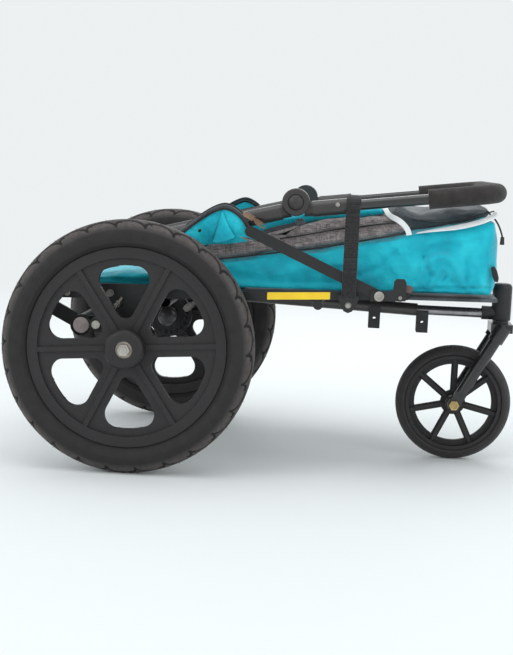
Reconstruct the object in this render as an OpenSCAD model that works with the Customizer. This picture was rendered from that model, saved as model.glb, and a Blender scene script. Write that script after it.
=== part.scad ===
// Three-wheeled pet stroller, folded flat: two big air-tyred rear wheels, a front caster,
// a steel chassis with a fabric cabin pressed down on it, and the push handle laid forward.
// Millimetres. +X is the travel direction, +Z is up, the floor is z = 0, and the origin is
// on the floor under the middle of the stroller.

/* [Rear wheels] */
// Outside diameter of a rear tyre
rear_d = 410; // [400:1:416]
// Width of a rear tyre
rear_tyre_w = 54; // [50:1:56]
// Distance between the middle planes of the rear wheels
track = 540; // [540:1:560]
// Number of spokes in a rear rim
rear_spokes = 6; // [5:1:7]
// Width of a spoke of a rear rim
rear_web_w = 32; // [26:1:36]

/* [Front wheel and fork] */
// Outside diameter of the front tyre
front_d = 203; // [196:1:206]
// Width of the front tyre
front_tyre_w = 36; // [32:1:40]
// Distance from the rear axle to the front axle
wheelbase = 542; // [538:1:546]
// How far the front axle trails the swivel axis
trail = 75; // [70:1:80]
// Number of spokes in the front wheel
front_spokes = 7; // [5:1:8]

/* [Frame] */
// Distance between the outer faces of the side rails
rail_span = 430; // [430:1:434]
// Height of a side rail
rail_h = 15; // [13:1:16]
// Thickness of a side rail
rail_t = 12; // [10:1:12]
// Diameter of the centre spine
spine_d = 22; // [20:1:22]

/* [Handle] */
// Distance between the middles of the two handle legs
handle_span = 390; // [388:1:391]
// Diameter of the handle posts
post_d = 26; // [25:1:26]
// Diameter of the bent grip tube
grip_tube_d = 17; // [16:1:18]
// Diameter of the foam grip
foam_d = 32; // [28:1:32]

/* [Hidden] */

rear_r = rear_d / 2;
front_r = front_d / 2;
// The rear axle's place, which puts the origin under the middle of the outline
rear_x = -(wheelbase + front_r - rear_r) / 2;
$fn = 48;
big_fn = 96;
run = 0.05;  // radial clearance of a shaft that turns in its bore
gap = 0.3;   // clearance between pieces that move past each other

// Rear rim, as radii from the axle
lip_r = 161;
barrel_r = 150;
barrel_in_r = 144;
lip_half_w = 17;
bead_r = [152, 167];  // the tyre's feet between the lips
bead_z = 8.5;
lip_t = 4;
window_out_r = 132;
window_corner_r = 22;
window_nose_r = 15;
web_z = [2, 12];   // the spoked web, outboard of the wheel's middle plane
rib_w = 8;
rib_top_z = 16;
boss_r = 32;
boss_round = 8;
boss_face_z = 44;  // outer face of the hub
hub_in_r = 26;
hub_in_z = -37;
spoke_end_r = 130;  // the spokes join the rim here
bearing_r = 14;
bearing_w = 9;
axle_r = 6;
disc_t = 5;
disc_r = 43;
disc_hole_r = 4;
disc_pitch_r = 34;
disc_holes = 20;
valve_angle = 36;

// Frame heights and planes. Planes are distances from the middle plane
rail_out = rail_span / 2;
rail_in = rail_out - rail_t;
plate_t = 4;
strut_y = rail_out + 1;
hook_y = strut_y + plate_t + 0.5;
pin_at = disc_pitch_r * sin(45);     // offset of a brake pin from the axle, both ways
spine_r = spine_d / 2;
spine_rear = [60, 275.4];
spine_front = [470, 262.4];
nose_z = 262.5;
nose_r = 8.5;
swivel_x = wheelbase + trail;
head_r = 17;
head_bottom_z = 252;
stem_r = 10;
crown_z = [232, 247];
leg_y = 34.5;
leg_r = 10.5;
hub_front_half = 27;

// Handle
handle_y = handle_span / 2;
post_r = post_d / 2;
post_pivot = [-95, 345];
knuckle = [256, 447];
knuckle_r = 22.4;
post_angle = 14.5;
post_drop = 10.6;    // from the knuckle's centre down to the post's axis
upper_angle = 7.4;
upper_drop = 13.3;   // from the knuckle's centre down to the grip tube's axis
knuckle_split = handle_y + 4;
knuckle_half = 12;
tube_start = 26;     // a tube ends this far from the knuckle's centre
sleeve_end = 86;
bar_x = 327;         // the cross grip, measured from the knuckle along the tube
bend_r = 42;
grip_r = grip_tube_d / 2;
foam_r = foam_d / 2;
foam_start = 214;
button_r = 13;

// Brake bar, struts and latches, as [x from the rear axle, height]
brake_pivot = [-62, 232];
bar_at = [-92, 227];
pedal_tip = [-156, 259];
strut_a = [398, 303];
strut_b = [185, 397];
strut_w = 17.5;
latch_pivot = [434, 318];
latch_tip = [446, 316];
strap_x = 349;
strap_w = 24;
stud_z = 286;
zip_hinge = [188, 418];
zip_pin_angle = 55.6;  // of the zip's pin in side view
zip_dir = [sin(zip_pin_angle), -cos(zip_pin_angle)];
zip_pin_y = handle_y + post_r + 6.2;

// Fabric outline heights
cabin_half = 196;
floor_line = [[-105, 285], [179, 291], [590, 299]];
tub_line = [[-100, 305], [145, 348], [310, 375], [466, 410], [582, 440]];

// ---------- helpers ----------

// Moves a piece drawn from the rear axle's middle to its place
module placed() translate([rear_x, 0, 0]) children();

// Draws the right-hand piece and its mirror image
module both_sides() {
    children();
    mirror([0, 1, 0]) children();
}

// An outline in x and z, made into a plate between two distances on the right-hand side
module side_plate(y_in, y_out) {
    translate([0, -y_in, 0]) rotate([90, 0, 0]) linear_extrude(y_out - y_in) children();
}

// An outline in x and z, made into a block as wide as the given half width each way
module wide_block(half) {
    translate([0, half, 0]) rotate([90, 0, 0]) linear_extrude(2 * half) children();
}

// A pin across the stroller at p = [x, z], on the right-hand side
module side_pin(p, r, y_in, y_out) {
    translate([p[0], -y_in, p[1]]) rotate([90, 0, 0]) cylinder(r = r, h = y_out - y_in);
}

// A flat bar with round ends between two points of an outline
module bar_outline(p, q, w) {
    len = norm(q - p);
    translate(p) rotate(atan2(q[1] - p[1], q[0] - p[0])) {
        circle(d = w);
        translate([len, 0]) circle(d = w);
        translate([0, -w / 2]) square([len, w]);
    }
}

// A round tube or rod across x and z in the plane y, from p to q
module rod(p, q, r, y = 0) {
    len = norm(q - p);
    translate([p[0], y, p[1]])
        rotate([0, 90 - atan2(q[1] - p[1], q[0] - p[0]), 0])
            cylinder(r = r, h = len);
}

// A right-hand rear wheel's own frame: x forward, y up, z outboard, centred on its axle
module rear_hub() translate([0, -track / 2, rear_r]) rotate([90, 0, 0]) children();

// A ring round the local z axis
module ring(r_in, r_out, z_low, z_high) {
    translate([0, 0, z_low]) difference() {
        cylinder(r = r_out, h = z_high - z_low, $fn = big_fn);
        translate([0, 0, -1]) cylinder(r = r_in, h = z_high - z_low + 2, $fn = big_fn);
    }
}

// ---------- rear wheels ----------

module tyre_shape() {
    centre_r = rear_r - rear_tyre_w / 2;
    rotate_extrude($fn = big_fn) difference() {
        union() {
            difference() {
                translate([centre_r, 0]) circle(d = rear_tyre_w);
                translate([centre_r, 0]) circle(r = rear_tyre_w / 2 - 5);
            }
            for (s = [-1, 1]) translate([bead_r[0], s > 0 ? bead_z : -bead_z - 6])
                square([bead_r[1] - bead_r[0], 6]);
        }
        for (s = [-1, 1])
            translate([barrel_r - 10, s * (lip_half_w - lip_t - gap / 2) + (s > 0 ? 0 : -20)])
                square([lip_r + gap / 2 - barrel_r + 10, 20]);
        translate([barrel_r - 10, -8]) square([20, 16]);
        translate([barrel_r - 10, -30]) square([10 + gap, 60]);
    }
}

module window_outline() {
    half = rear_web_w / 2;
    spoke_half = 180 / rear_spokes;
    nose_x = (half + window_nose_r) / sin(spoke_half);
    out_ring = window_out_r - window_corner_r;
    a = spoke_half - asin((half + window_corner_r) / out_ring);
    n = [-sin(spoke_half), cos(spoke_half)];
    nose_t = [nose_x, 0] + window_nose_r * n;
    out_c = out_ring * [cos(a), sin(a)];
    out_t = out_c + window_corner_r * n;
    translate([nose_x, 0]) circle(r = window_nose_r);
    for (s = [-1, 1]) translate([out_c[0], s * out_c[1]]) circle(r = window_corner_r);
    polygon([[nose_x, 0], nose_t, out_t, out_c, [out_c[0], -out_c[1]],
             [out_t[0], -out_t[1]], [nose_t[0], -nose_t[1]]]);
    intersection() {
        circle(r = window_out_r, $fn = big_fn);
        polygon([[nose_x, 0], 2 * out_c, [2 * out_c[0], -2 * out_c[1]]]);
    }
}

module rim_shape() {
    step = 360 / rear_spokes;
    difference() {
        union() {
            ring(barrel_in_r, barrel_r, -lip_half_w, lip_half_w);
            for (z = [-lip_half_w, lip_half_w - lip_t]) ring(barrel_in_r, lip_r, z, z + lip_t);
            translate([0, 0, web_z[0]]) linear_extrude(web_z[1] - web_z[0]) difference() {
                circle(r = barrel_in_r + 1, $fn = big_fn);
                for (k = [0 : rear_spokes - 1]) rotate(k * step + step / 2 + 4) window_outline();
            }
            for (k = [0 : rear_spokes - 1]) rotate(k * step + 4) {
                translate([hub_in_r, -rib_w / 2, web_z[1] - 1])
                    cube([barrel_in_r - hub_in_r + 1, rib_w, rib_top_z - web_z[1] + 1]);
                translate([hub_in_r - 2, -rib_w / 2, -12])
                    cube([barrel_in_r - hub_in_r + 3, rib_w, 15]);
            }
            translate([0, 0, -2]) cylinder(r = boss_r, h = boss_face_z - boss_round + 2);
            translate([0, 0, boss_face_z - boss_round]) rotate_extrude()
                translate([boss_r - boss_round, 0]) circle(r = boss_round);
            translate([0, 0, boss_face_z - boss_round - 1])
                cylinder(r = boss_r - boss_round, h = boss_round + 1);
            translate([0, 0, hub_in_z]) cylinder(r = hub_in_r, h = -hub_in_z);
        }
        translate([0, 0, hub_in_z - 1]) cylinder(r = axle_r + 3, h = 100);
        translate([0, 0, hub_in_z - 1]) cylinder(r = bearing_r, h = bearing_w + 1);
        translate([0, 0, boss_face_z - 5 - bearing_w]) cylinder(r = bearing_r, h = 40);
        rotate(valve_angle) translate([barrel_in_r - 20, 0, 0]) rotate([0, 90, 0])
            cylinder(r = 4.3, h = 29);
    }
}

// The rim is drawn whole and kept as two nodes, which meet where the spokes join the hoop
module spoke_space() translate([0, 0, hub_in_z - 1])
    cylinder(r = spoke_end_r, h = 100, $fn = big_fn);

module rim_hoop_shape() difference() {
    rim_shape();
    spoke_space();
}

module rim_spokes_shape() intersection() {
    rim_shape();
    spoke_space();
}

module inner_tube_shape() {
    centre_r = rear_r - rear_tyre_w / 2;
    rotate_extrude($fn = big_fn) difference() {
        translate([centre_r, 0]) circle(r = rear_tyre_w / 2 - 5.2);
        for (s = [-1, 1]) translate([barrel_r, s > 0 ? bead_z - gap : -bead_z + gap - 20])
            square([bead_r[1] + gap - barrel_r, 20]);
    }
    rotate(valve_angle) translate([124, 0, 0]) rotate([0, 90, 0]) cylinder(r = 4, h = 40);
    rotate(valve_angle) translate([112, 0, 0]) rotate([0, 90, 0]) cylinder(r = 5, h = 14);
}

module bearings_shape() {
    for (z = [hub_in_z, boss_face_z - 5 - bearing_w])
        ring(axle_r + run, bearing_r, z, z + bearing_w);
}

module brake_disc_shape() {
    translate([0, 0, hub_in_z - disc_t]) difference() {
        cylinder(r = disc_r, h = disc_t);
        translate([0, 0, -1]) cylinder(r = bearing_r, h = disc_t + 2);
        for (k = [0 : disc_holes - 1]) rotate(9 + k * 360 / disc_holes)
            translate([disc_pitch_r, 0, -1]) cylinder(r = disc_hole_r, h = disc_t + 2);
    }
}

module tyre_right() placed() color([0.24, 0.23, 0.23]) rear_hub() tyre_shape();
module tyre_left() mirror([0, 1, 0]) tyre_right();
module rim_right() placed() color([0.15, 0.15, 0.15]) rear_hub() rim_hoop_shape();
module rim_left() mirror([0, 1, 0]) rim_right();
module rim_spokes_right() placed() color([0.17, 0.17, 0.17]) rear_hub() rim_spokes_shape();
module rim_spokes_left() mirror([0, 1, 0]) rim_spokes_right();
module inner_tube_right() placed() color([0.2, 0.2, 0.2]) rear_hub() inner_tube_shape();
module inner_tube_left() mirror([0, 1, 0]) inner_tube_right();
module wheel_bearings_right() placed() color("silver") rear_hub() bearings_shape();
module wheel_bearings_left() mirror([0, 1, 0]) wheel_bearings_right();
module brake_disc_right() placed() color([0.12, 0.12, 0.12]) rear_hub() brake_disc_shape();
module brake_disc_left() mirror([0, 1, 0]) brake_disc_right();

// ---------- rear axle mounts ----------

// A stub axle with its outer nut and washer
module rear_axles() placed() color("silver") both_sides() rear_hub() {
    translate([0, 0, -86]) cylinder(r = axle_r, h = 86 + 46.5);
    difference() {
        translate([0, 0, 39 + gap]) cylinder(r = 10, h = 5, $fn = 6);
        translate([0, 0, 38]) cylinder(r = axle_r, h = 10);
    }
}

module axle_housings() placed() color([0.12, 0.12, 0.12]) both_sides() rear_hub() {
    difference() {
        union() {
            translate([0, 0, -84]) cylinder(r = head_r, h = 40);
            translate([0, 0, -84]) sphere(r = head_r);
        }
        translate([0, 0, -86]) cylinder(r = axle_r, h = 60);
    }
}

// The plate behind each rail's rear end, which holds the axle, the brake's pivot and, on its
// rear arm, the handle's pivot
module rear_plates() placed() color([0.1, 0.1, 0.1]) both_sides() difference() {
    side_plate(rail_out, rail_out + plate_t) {
        polygon([[-122, 274], [-52, 276], [-52, 284], [-40, 250], [-24, rear_r],
                 [24, rear_r], [38, 270], [38, 303], [-70, 300], post_pivot + [14, 0],
                 post_pivot - [14, 0], [-112, 300]]);
        translate(post_pivot) circle(r = 14);
        translate([0, rear_r]) circle(r = 24);
        bar_outline(brake_pivot, [-20, 232], 24);
    }
    side_pin([0, rear_r], head_r, rail_out - 5, rail_out + 10);
    side_pin([-pin_at, rear_r + pin_at], 3.6 + run, rail_out - 5, rail_out + 10);
    side_pin(brake_pivot, 4, rail_out - 5, rail_out + 10);
    side_pin(post_pivot, 5, rail_out - 5, rail_out + 10);
}

module brake_guides() placed() color([0.14, 0.14, 0.14]) both_sides() {
    difference() {
        side_pin([-pin_at, rear_r + pin_at], 8, 196, rail_out);
        side_pin([-pin_at, rear_r + pin_at], 3.6 + run, 190, 230);
    }
    // Cable stop with its lock nuts
    translate([-34, -(rail_out + plate_t), 258]) rotate([0, 35, 0]) translate([0, -5, 0]) {
        cylinder(r = 2.5, h = 26);
        translate([0, 0, 6]) cylinder(r = 5, h = 4, $fn = 6);
        translate([0, 0, 14]) cylinder(r = 5, h = 4, $fn = 6);
        translate([-4, 0, 8]) cube([8, 5, 8]);
    }
}

// ---------- chassis ----------

rail_top = [[-120, 290], [179, 299], [445, 313.3]];

function rail_z(x) = x < 179
    ? 290 + (x + 120) * 9 / 299
    : 299 + (x - 179) * 14.3 / 266;

module side_rails() placed() color([0.1, 0.1, 0.1]) both_sides() difference() {
    side_plate(rail_in, rail_out)
        polygon(concat(rail_top, [for (k = [2, 1, 0]) rail_top[k] - [0, rail_h]]));
    side_plate(rail_in + 1.5, rail_out - 1.5)
        polygon(concat([[-121, rail_z(-121) - 1.5], [179, rail_z(179) - 1.5],
                        [446, rail_z(446) - 1.5]],
                       [[446, rail_z(446) - rail_h + 1.5], [179, rail_z(179) - rail_h + 1.5],
                        [-121, rail_z(-121) - rail_h + 1.5]]));
    side_pin(strut_a, 4, rail_in - 1, rail_out + 1);
}

// Plastic plugs in the four rail ends
module rail_plugs() placed() color([0.08, 0.08, 0.08]) both_sides() {
    for (x = [-123, 443]) side_plate(rail_in + 1.5, rail_out - 1.5)
        polygon([[x, rail_z(x) - 1.7], [x + 5, rail_z(x) - 1.7],
                 [x + 5, rail_z(x) - rail_h + 1.9], [x, rail_z(x) - rail_h + 1.9]]);
}

spine_tilt = atan2(spine_rear[1] - spine_front[1], spine_front[0] - spine_rear[0]);
module spine_bar(r) rod(spine_rear, spine_front, r);

module cross_tubes() placed() color([0.12, 0.12, 0.12]) {
    rotate([90, 0, 0]) translate([48, 274, -rail_in]) difference() {
        cylinder(r = 10, h = 2 * rail_in);
        translate([0, 0, -1]) cylinder(r = 8.5, h = 2 * rail_in + 2);
    }
    difference() {
        translate([300, rail_out - 2, rail_z(300) - rail_h - 8]) rotate([90, 0, 0])
            cylinder(r = 8, h = 2 * rail_out - 4);
        spine_bar(spine_r);
    }
}

module spine_tube() placed() color([0.12, 0.12, 0.12]) difference() {
    spine_bar(spine_r);
    translate([spine_front[0], 0, spine_front[1]]) rotate([0, spine_tilt - 90, 0])
        translate([0, 0, -5]) cylinder(r = spine_r - 1.8, h = 225);
    translate([48, 50, 274]) rotate([90, 0, 0]) cylinder(r = 10, h = 100);
}

module nose_tube() placed() color([0.35, 0.35, 0.36]) difference() {
    rod([452, nose_z], [601, nose_z], nose_r);
    rod([451, nose_z], [602, nose_z], nose_r - 1.5);
}

// Two U brackets under the spine, drilled across for a tow bar's pins
module hitch_brackets() placed() color([0.13, 0.13, 0.13])
    for (p = [[395, 244, 227], [479.5, 241, 223.5]]) difference() {
        translate([p[0] - 10.25, -spine_r - 3, p[2]]) cube([20.5, 2 * spine_r + 6, 38]);
        translate([p[0] - 11, -spine_r, p[2] - 1]) cube([22, 2 * spine_r, 40]);
        translate([p[0], 20, p[1]]) rotate([90, 0, 0]) cylinder(r = 3.2, h = 40);
    }

module head_tube() placed() color([0.1, 0.1, 0.1]) difference() {
    translate([swivel_x, 0, 0]) {
        union() {
            translate([0, 0, head_bottom_z]) cylinder(r = head_r, h = 57);
            translate([0, 0, 309]) rotate_extrude() translate([head_r - 8, 0]) circle(r = 8);
            translate([0, 0, 305]) cylinder(r = head_r - 8, h = 12);
            translate([-34, 0, nose_z + 1]) rotate([0, 90, 0]) cylinder(r = 12, h = 24);
        }
    }
    translate([swivel_x, 0, head_bottom_z - 1]) cylinder(r = 15, h = 48);
    translate([swivel_x - 35, 0, nose_z]) rotate([0, 90, 0]) cylinder(r = nose_r, h = 20);
}

module head_bearings() placed() color("silver") translate([swivel_x, 0, 0]) {
    ring(stem_r + run, 15, head_bottom_z, head_bottom_z + 10);
    ring(stem_r + run, 15, head_bottom_z + 34, head_bottom_z + 44);
}

module hook_plates() placed() color([0.08, 0.08, 0.08]) both_sides() {
    difference() {
        side_plate(hook_y, hook_y + plate_t)
            polygon([[384, 294], [441, 297], [441, 326], [438, 332.5], [425, 332.5],
                     [421, 328], [420, 312], [384, 311]]);
        side_pin(strut_a, 4, hook_y - 1, hook_y + plate_t + 1);
        side_pin([432, 302], 3, hook_y - 1, hook_y + plate_t + 1);
    }
    side_pin(latch_pivot, 2.5, strut_y, hook_y);
}

// The strut bolts, the bolts that hold the hook plates and dropout plates, the strap stud
module frame_bolts() placed() color("silver") {
    both_sides() {
        side_pin(strut_a, 4, rail_in - 4, hook_y + plate_t);
        difference() {
            side_pin(strut_a, 8, hook_y + plate_t, hook_y + plate_t + 5);
            side_pin(strut_a, 4, hook_y + plate_t + 2, hook_y + plate_t + 6);
        }
        side_pin([432, 302], 3, rail_out, hook_y + plate_t + 2);
        difference() {
            side_pin([432, 302], 7, rail_out, hook_y);
            side_pin([432, 302], 3, rail_out - 1, hook_y + 1);
        }
        for (x = [-40, 25, -112, -80])
            side_pin([x, rail_z(x) - 7], 6, rail_out + plate_t, rail_out + plate_t + 3);
    }
    side_pin([strap_x, stud_z], 3, rail_out, strap_y + 5);
    side_pin([strap_x, stud_z], 5, rail_out, strap_y - 1);
}

module pivot_pins() placed() color("silver") both_sides() {
    side_pin(post_pivot, 5, handle_y - post_r - 3, rail_out + plate_t);
    side_pin(post_pivot, 8, handle_y - post_r - 7, handle_y - post_r - gap);
    side_pin(post_pivot, 8, rail_out + plate_t, rail_out + plate_t + 4);
    side_pin(brake_pivot, 4, 170, rail_out + plate_t);
    side_pin(brake_pivot, 7, 168, 172);
    side_pin(brake_pivot, 7, rail_out + plate_t, rail_out + plate_t + 4);
}

// ---------- fabric ----------

module floor_panel() placed() color([0.35, 0.37, 0.38]) wide_block(cabin_half + 2)
    polygon(concat(floor_line, [for (k = [2, 1, 0]) floor_line[k] + [0, 8]]));

module cabin_tub() placed() color([0.08, 0.68, 0.76]) wide_block(cabin_half)
    polygon(concat([[-100, 294], [179, 299.5], [586, 307.5]],
                   [for (k = [4, 3, 2, 1, 0]) tub_line[k]]));

module hood_roll() placed() color([0.58, 0.55, 0.55]) wide_block(190)
    polygon([[90, 339.5], [145, 349], [310, 376], [440, 405.2], [446, 412], [430, 425],
             [328, 416], [264, 400], [200, 386], [150, 383], [104, 366]]);

module hood_layer() placed() color([0.08, 0.62, 0.7]) wide_block(168)
    polygon([[60, 360], [104, 366.5], [150, 383.5], [200, 386.5], [264, 400.5], [328, 416.5],
             [398, 423], [398, 443], [300, 438], [200, 425], [120, 400]]);

module front_fold() placed() color([0.38, 0.42, 0.44]) wide_block(174) difference() {
    polygon([[402, 396.5], [466, 411], [582, 441], [585, 449], [560, 456], [527, 452],
             [494, 444], [461, 436], [402, 444]]);
    polygon([[390, 380], [440, 405.2], [447, 412], [430.5, 426], [395, 423.5]]);
}

module side_gussets() placed() color([0.08, 0.62, 0.7]) both_sides()
    side_plate(handle_y + post_r + 1, handle_y + post_r + 3.5)
        polygon([[58, 366], [100, 349], [150, 372], [205, 384], [222, 398], [178, 416],
                 [128, 433], [96, 410]]);

// The zip's slider, with the two ears and the pin that its pull hangs on
module zip_slider() placed() color([0.5, 0.42, 0.36]) {
    side_plate(handle_y + post_r + 3.5, zip_pin_y - 1.5) bar_outline([176, 424], zip_hinge, 9);
    zip_frame() {
        cylinder(r = 0.8, h = 9, center = true);
        for (s = [-1, 1]) translate([0, 0, s * 3.6]) cylinder(r = 1.7, h = 1.6, center = true);
    }
}

// The pull's hinge frame: z runs along the pin
module zip_frame() translate([zip_hinge[0], -zip_pin_y, zip_hinge[1]])
    rotate([0, 90 - zip_pin_angle, 0]) children();

// ---------- brake ----------

// The tube across the stroller, with an arm and a pedal welded on near each end
module brake_bar() placed() color([0.1, 0.1, 0.1]) difference() {
    union() {
        side_pin(bar_at, 16, -190, 190);
        both_sides() side_plate(174, 179) {
            bar_outline(brake_pivot, bar_at, 24);
            bar_outline(bar_at, pedal_tip, 24);
        }
    }
    side_pin(bar_at, 14, -191, 191);
    both_sides() side_pin(brake_pivot, 4 + run, 173, 180);
}

module brake_caps() placed() color([0.06, 0.06, 0.06]) both_sides() difference() {
    union() {
        side_pin(bar_at, 18, 190, 195);
        side_pin(bar_at, 14, 184, 190);
    }
    side_pin(bar_at, 13.5, 194, 196);
}

module brake_pin() {
    side_pin([-pin_at, rear_r + pin_at], 3.6, 186, 226.5);
    side_pin([-pin_at, rear_r + pin_at], 6, 182, 186);
}
module brake_pin_right() placed() color("silver") brake_pin();
module brake_pin_left() placed() color("silver") mirror([0, 1, 0]) brake_pin();

// ---------- front fork and wheel ----------

leg_top = [swivel_x + 2, 240];
leg_end = [wheelbase, front_r];
leg_dir = (leg_end - leg_top) / norm(leg_end - leg_top);

// The stem, the crown with its two sockets, and the legs welded into them
module front_fork() placed() color([0.1, 0.1, 0.1]) difference() {
    union() {
        translate([swivel_x, 0, crown_z[1] - 1]) cylinder(r = stem_r, h = 51);
        translate([swivel_x, 0, crown_z[1] - 1])
            cylinder(r = 14, h = head_bottom_z - crown_z[1]);
        translate([swivel_x - 19, -leg_y, crown_z[0]])
            cube([38, 2 * leg_y, crown_z[1] - crown_z[0]]);
        for (s = [-1, 1]) {
            rod(leg_top - 4 * leg_dir, leg_top + 26 * leg_dir, leg_r + 3, s * leg_y);
            rod(leg_top, leg_end - 24 * leg_dir, leg_r, s * leg_y);
            translate([0, s * leg_y, 0]) wide_block(4.5)
                bar_outline(leg_end - 40 * leg_dir, leg_end, 20);
        }
    }
    translate([leg_end[0], 50, leg_end[1]]) rotate([90, 0, 0]) cylinder(r = 5, h = 100);
}

module front_axle() placed() color([0.75, 0.62, 0.35]) {
    side_pin(leg_end, 5, -leg_y - 8, leg_y + 8);
    for (s = [0, 1]) mirror([0, s, 0]) difference() {
        translate([leg_end[0], -leg_y - 4.5, leg_end[1]]) rotate([90, 0, 0])
            cylinder(r = 9, h = 6, $fn = 6);
        side_pin(leg_end, 5, leg_y, leg_y + 20);
    }
}

module front_hub() translate([wheelbase, 0, front_r]) rotate([90, 0, 0]) children();

module front_tyre() placed() color([0.22, 0.21, 0.21]) front_hub() rotate_extrude($fn = big_fn)
    difference() {
        intersection() {
            translate([front_r - 20, 0]) circle(r = 20);
            translate([84, -front_tyre_w / 2]) square([30, front_tyre_w]);
        }
        translate([90, 0]) circle(r = 3);
    }

module front_rim_shape() difference() {
    union() {
        ring(78, 84, -15, 15);
        ring(68, 79, -3, 3);
        for (k = [0 : front_spokes - 1]) rotate(90 + k * 360 / front_spokes) {
            translate([12, -3, -9]) cube([67, 6, 18]);
            translate([12, -6, -2]) cube([58, 12, 4]);
        }
        cylinder(r = 22, h = 6, center = true);
        cylinder(r = 15, h = 2 * hub_front_half, center = true);
    }
    cylinder(r = 6.5, h = 80, center = true);
    for (s = [0, 1]) mirror([0, 0, s]) translate([0, 0, hub_front_half - 7])
        cylinder(r = 11, h = 10);
}

module front_rim() placed() color([0.14, 0.14, 0.14]) front_hub() difference() {
    front_rim_shape();
    cylinder(r = 67, h = 80, center = true, $fn = big_fn);
}

module front_spokes_hub() placed() color([0.14, 0.14, 0.14]) front_hub() intersection() {
    front_rim_shape();
    cylinder(r = 67, h = 80, center = true, $fn = big_fn);
}

module front_bearings() placed() color("silver") front_hub()
    for (z = [-hub_front_half, hub_front_half - 7]) ring(5 + run, 11, z, z + 7);

// ---------- handle ----------

// The lower handle's frame: x runs from the knuckle back along the post
module post_frame() translate([knuckle[0], -handle_y, knuckle[1]])
    rotate([0, -post_angle, 0]) mirror([1, 0, 0]) children();

// The upper handle's frame: x runs from the knuckle forward along the tube
module upper_frame() translate([knuckle[0], 0, knuckle[1]])
    rotate([0, -upper_angle, 0]) children();

// A rod along x in a handle frame, y beside the leg's middle, z below the knuckle
module along(x_from, x_to, r, y, z) translate([x_from, y, z]) rotate([0, 90, 0])
    cylinder(r = r, h = x_to - x_from);

post_len = norm(knuckle - post_pivot);

module handle_posts() placed() color([0.22, 0.21, 0.2]) both_sides() difference() {
    union() {
        post_frame() difference() {
            along(tube_start, post_len - 12, post_r, 0, -post_drop);
            along(tube_start - 1, post_len - 20, post_r - 1.5, 0, -post_drop);
        }
        side_pin(post_pivot, post_r + 1, handle_y - post_r, handle_y + post_r);
    }
    side_pin(post_pivot, 5 + run, handle_y - 30, handle_y + 30);
}

module knuckle_inner() placed() color([0.12, 0.12, 0.12]) both_sides() {
    side_pin(knuckle, knuckle_r, knuckle_split - knuckle_half, knuckle_split - gap / 2);
    side_pin(knuckle, 5, knuckle_split - gap, knuckle_split + 6);
    difference() {
        post_frame() along(12, 60, post_r - 1.6, 0, -post_drop);
        side_pin(knuckle, knuckle_r + 0.6, knuckle_split - gap / 2, knuckle_split + 40);
    }
}

module knuckle_outer() placed() color([0.17, 0.17, 0.17]) both_sides() difference() {
    union() {
        side_pin(knuckle, knuckle_r - 3, knuckle_split + gap / 2, knuckle_split + knuckle_half);
        side_pin(knuckle, knuckle_r, knuckle_split + gap / 2, knuckle_split + knuckle_half - 3);
        translate([knuckle[0], -knuckle_split - knuckle_half + 3, knuckle[1]]) rotate([90, 0, 0])
            rotate_extrude() translate([knuckle_r - 3, 0]) circle(r = 3);
        difference() {
            upper_frame() along(12, 60, post_r - 1.6, -handle_y, -upper_drop);
            side_pin(knuckle, knuckle_r + 0.6, knuckle_split - 60, knuckle_split + gap / 2);
        }
    }
    side_pin(knuckle, 5 + run, knuckle_split - 1, knuckle_split + 8);
    side_pin(knuckle, button_r + 0.2, knuckle_split + 6, knuckle_split + 30);
}

// A rivet through a sleeve's outer side
module rivet_shape(r) translate([67, -handle_y - post_r + 1, -upper_drop + 4])
    rotate([90, 0, 0]) cylinder(r = r, h = 2.5);

module handle_sleeves() placed() color([0.22, 0.21, 0.2]) both_sides() upper_frame() difference() {
    along(tube_start, sleeve_end, post_r, -handle_y, -upper_drop);
    rivet_shape(3.5 + run);
    along(tube_start - 1, 61, post_r - 1.6, -handle_y, -upper_drop);
    along(60, sleeve_end + 1, grip_r, -handle_y, -upper_drop);
}

// The bent tube: two legs, two bends and the cross bar, as a solid of radius r
module grip_run(r, x_from) {
    for (s = [-1, 1]) {
        along(x_from, bar_x - bend_r, r, s * handle_y, -upper_drop);
        translate([bar_x - bend_r, s * (handle_y - bend_r), -upper_drop])
            rotate([0, 0, s > 0 ? 0 : -90]) rotate_extrude(angle = 90)
                translate([bend_r, 0]) circle(r = r);
    }
    translate([bar_x, handle_y - bend_r, -upper_drop]) rotate([90, 0, 0])
        cylinder(r = r, h = 2 * (handle_y - bend_r));
}

module grip_tube() placed() color([0.1, 0.1, 0.1]) upper_frame() grip_run(grip_r, 62);

module foam_grip() placed() color([0.3, 0.28, 0.27]) upper_frame() difference() {
    grip_run(foam_r, foam_start);
    grip_run(grip_r, foam_start - 5);
}

module sleeve_rivets() placed() color("silver") both_sides() upper_frame() rivet_shape(3.5);

module knuckle_button() {
    face = knuckle_split + knuckle_half - 1.5;
    side_pin(knuckle, button_r, knuckle_split + 10.2, face);
    intersection() {
        translate([knuckle[0], -face + 11.7, knuckle[1]]) sphere(r = 17.5);
        side_pin(knuckle, button_r, face, face + 10);
    }
}
module knuckle_button_right() placed() color([0.2, 0.2, 0.2]) knuckle_button();
module knuckle_button_left() placed() color([0.2, 0.2, 0.2]) mirror([0, 1, 0]) knuckle_button();

// ---------- struts, latches, strap and zip ----------

module strut() {
    difference() {
        side_plate(strut_y, strut_y + plate_t) bar_outline(strut_a, strut_b, strut_w);
        side_pin(strut_a, 4 + run, strut_y - 1, strut_y + plate_t + 1);
    }
    side_pin(strut_b, 4.5, strut_y + plate_t, strut_y + plate_t + 2);
}
module strut_right() placed() color([0.1, 0.1, 0.1]) strut();
module strut_left() placed() color([0.1, 0.1, 0.1]) mirror([0, 1, 0]) strut();

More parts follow.
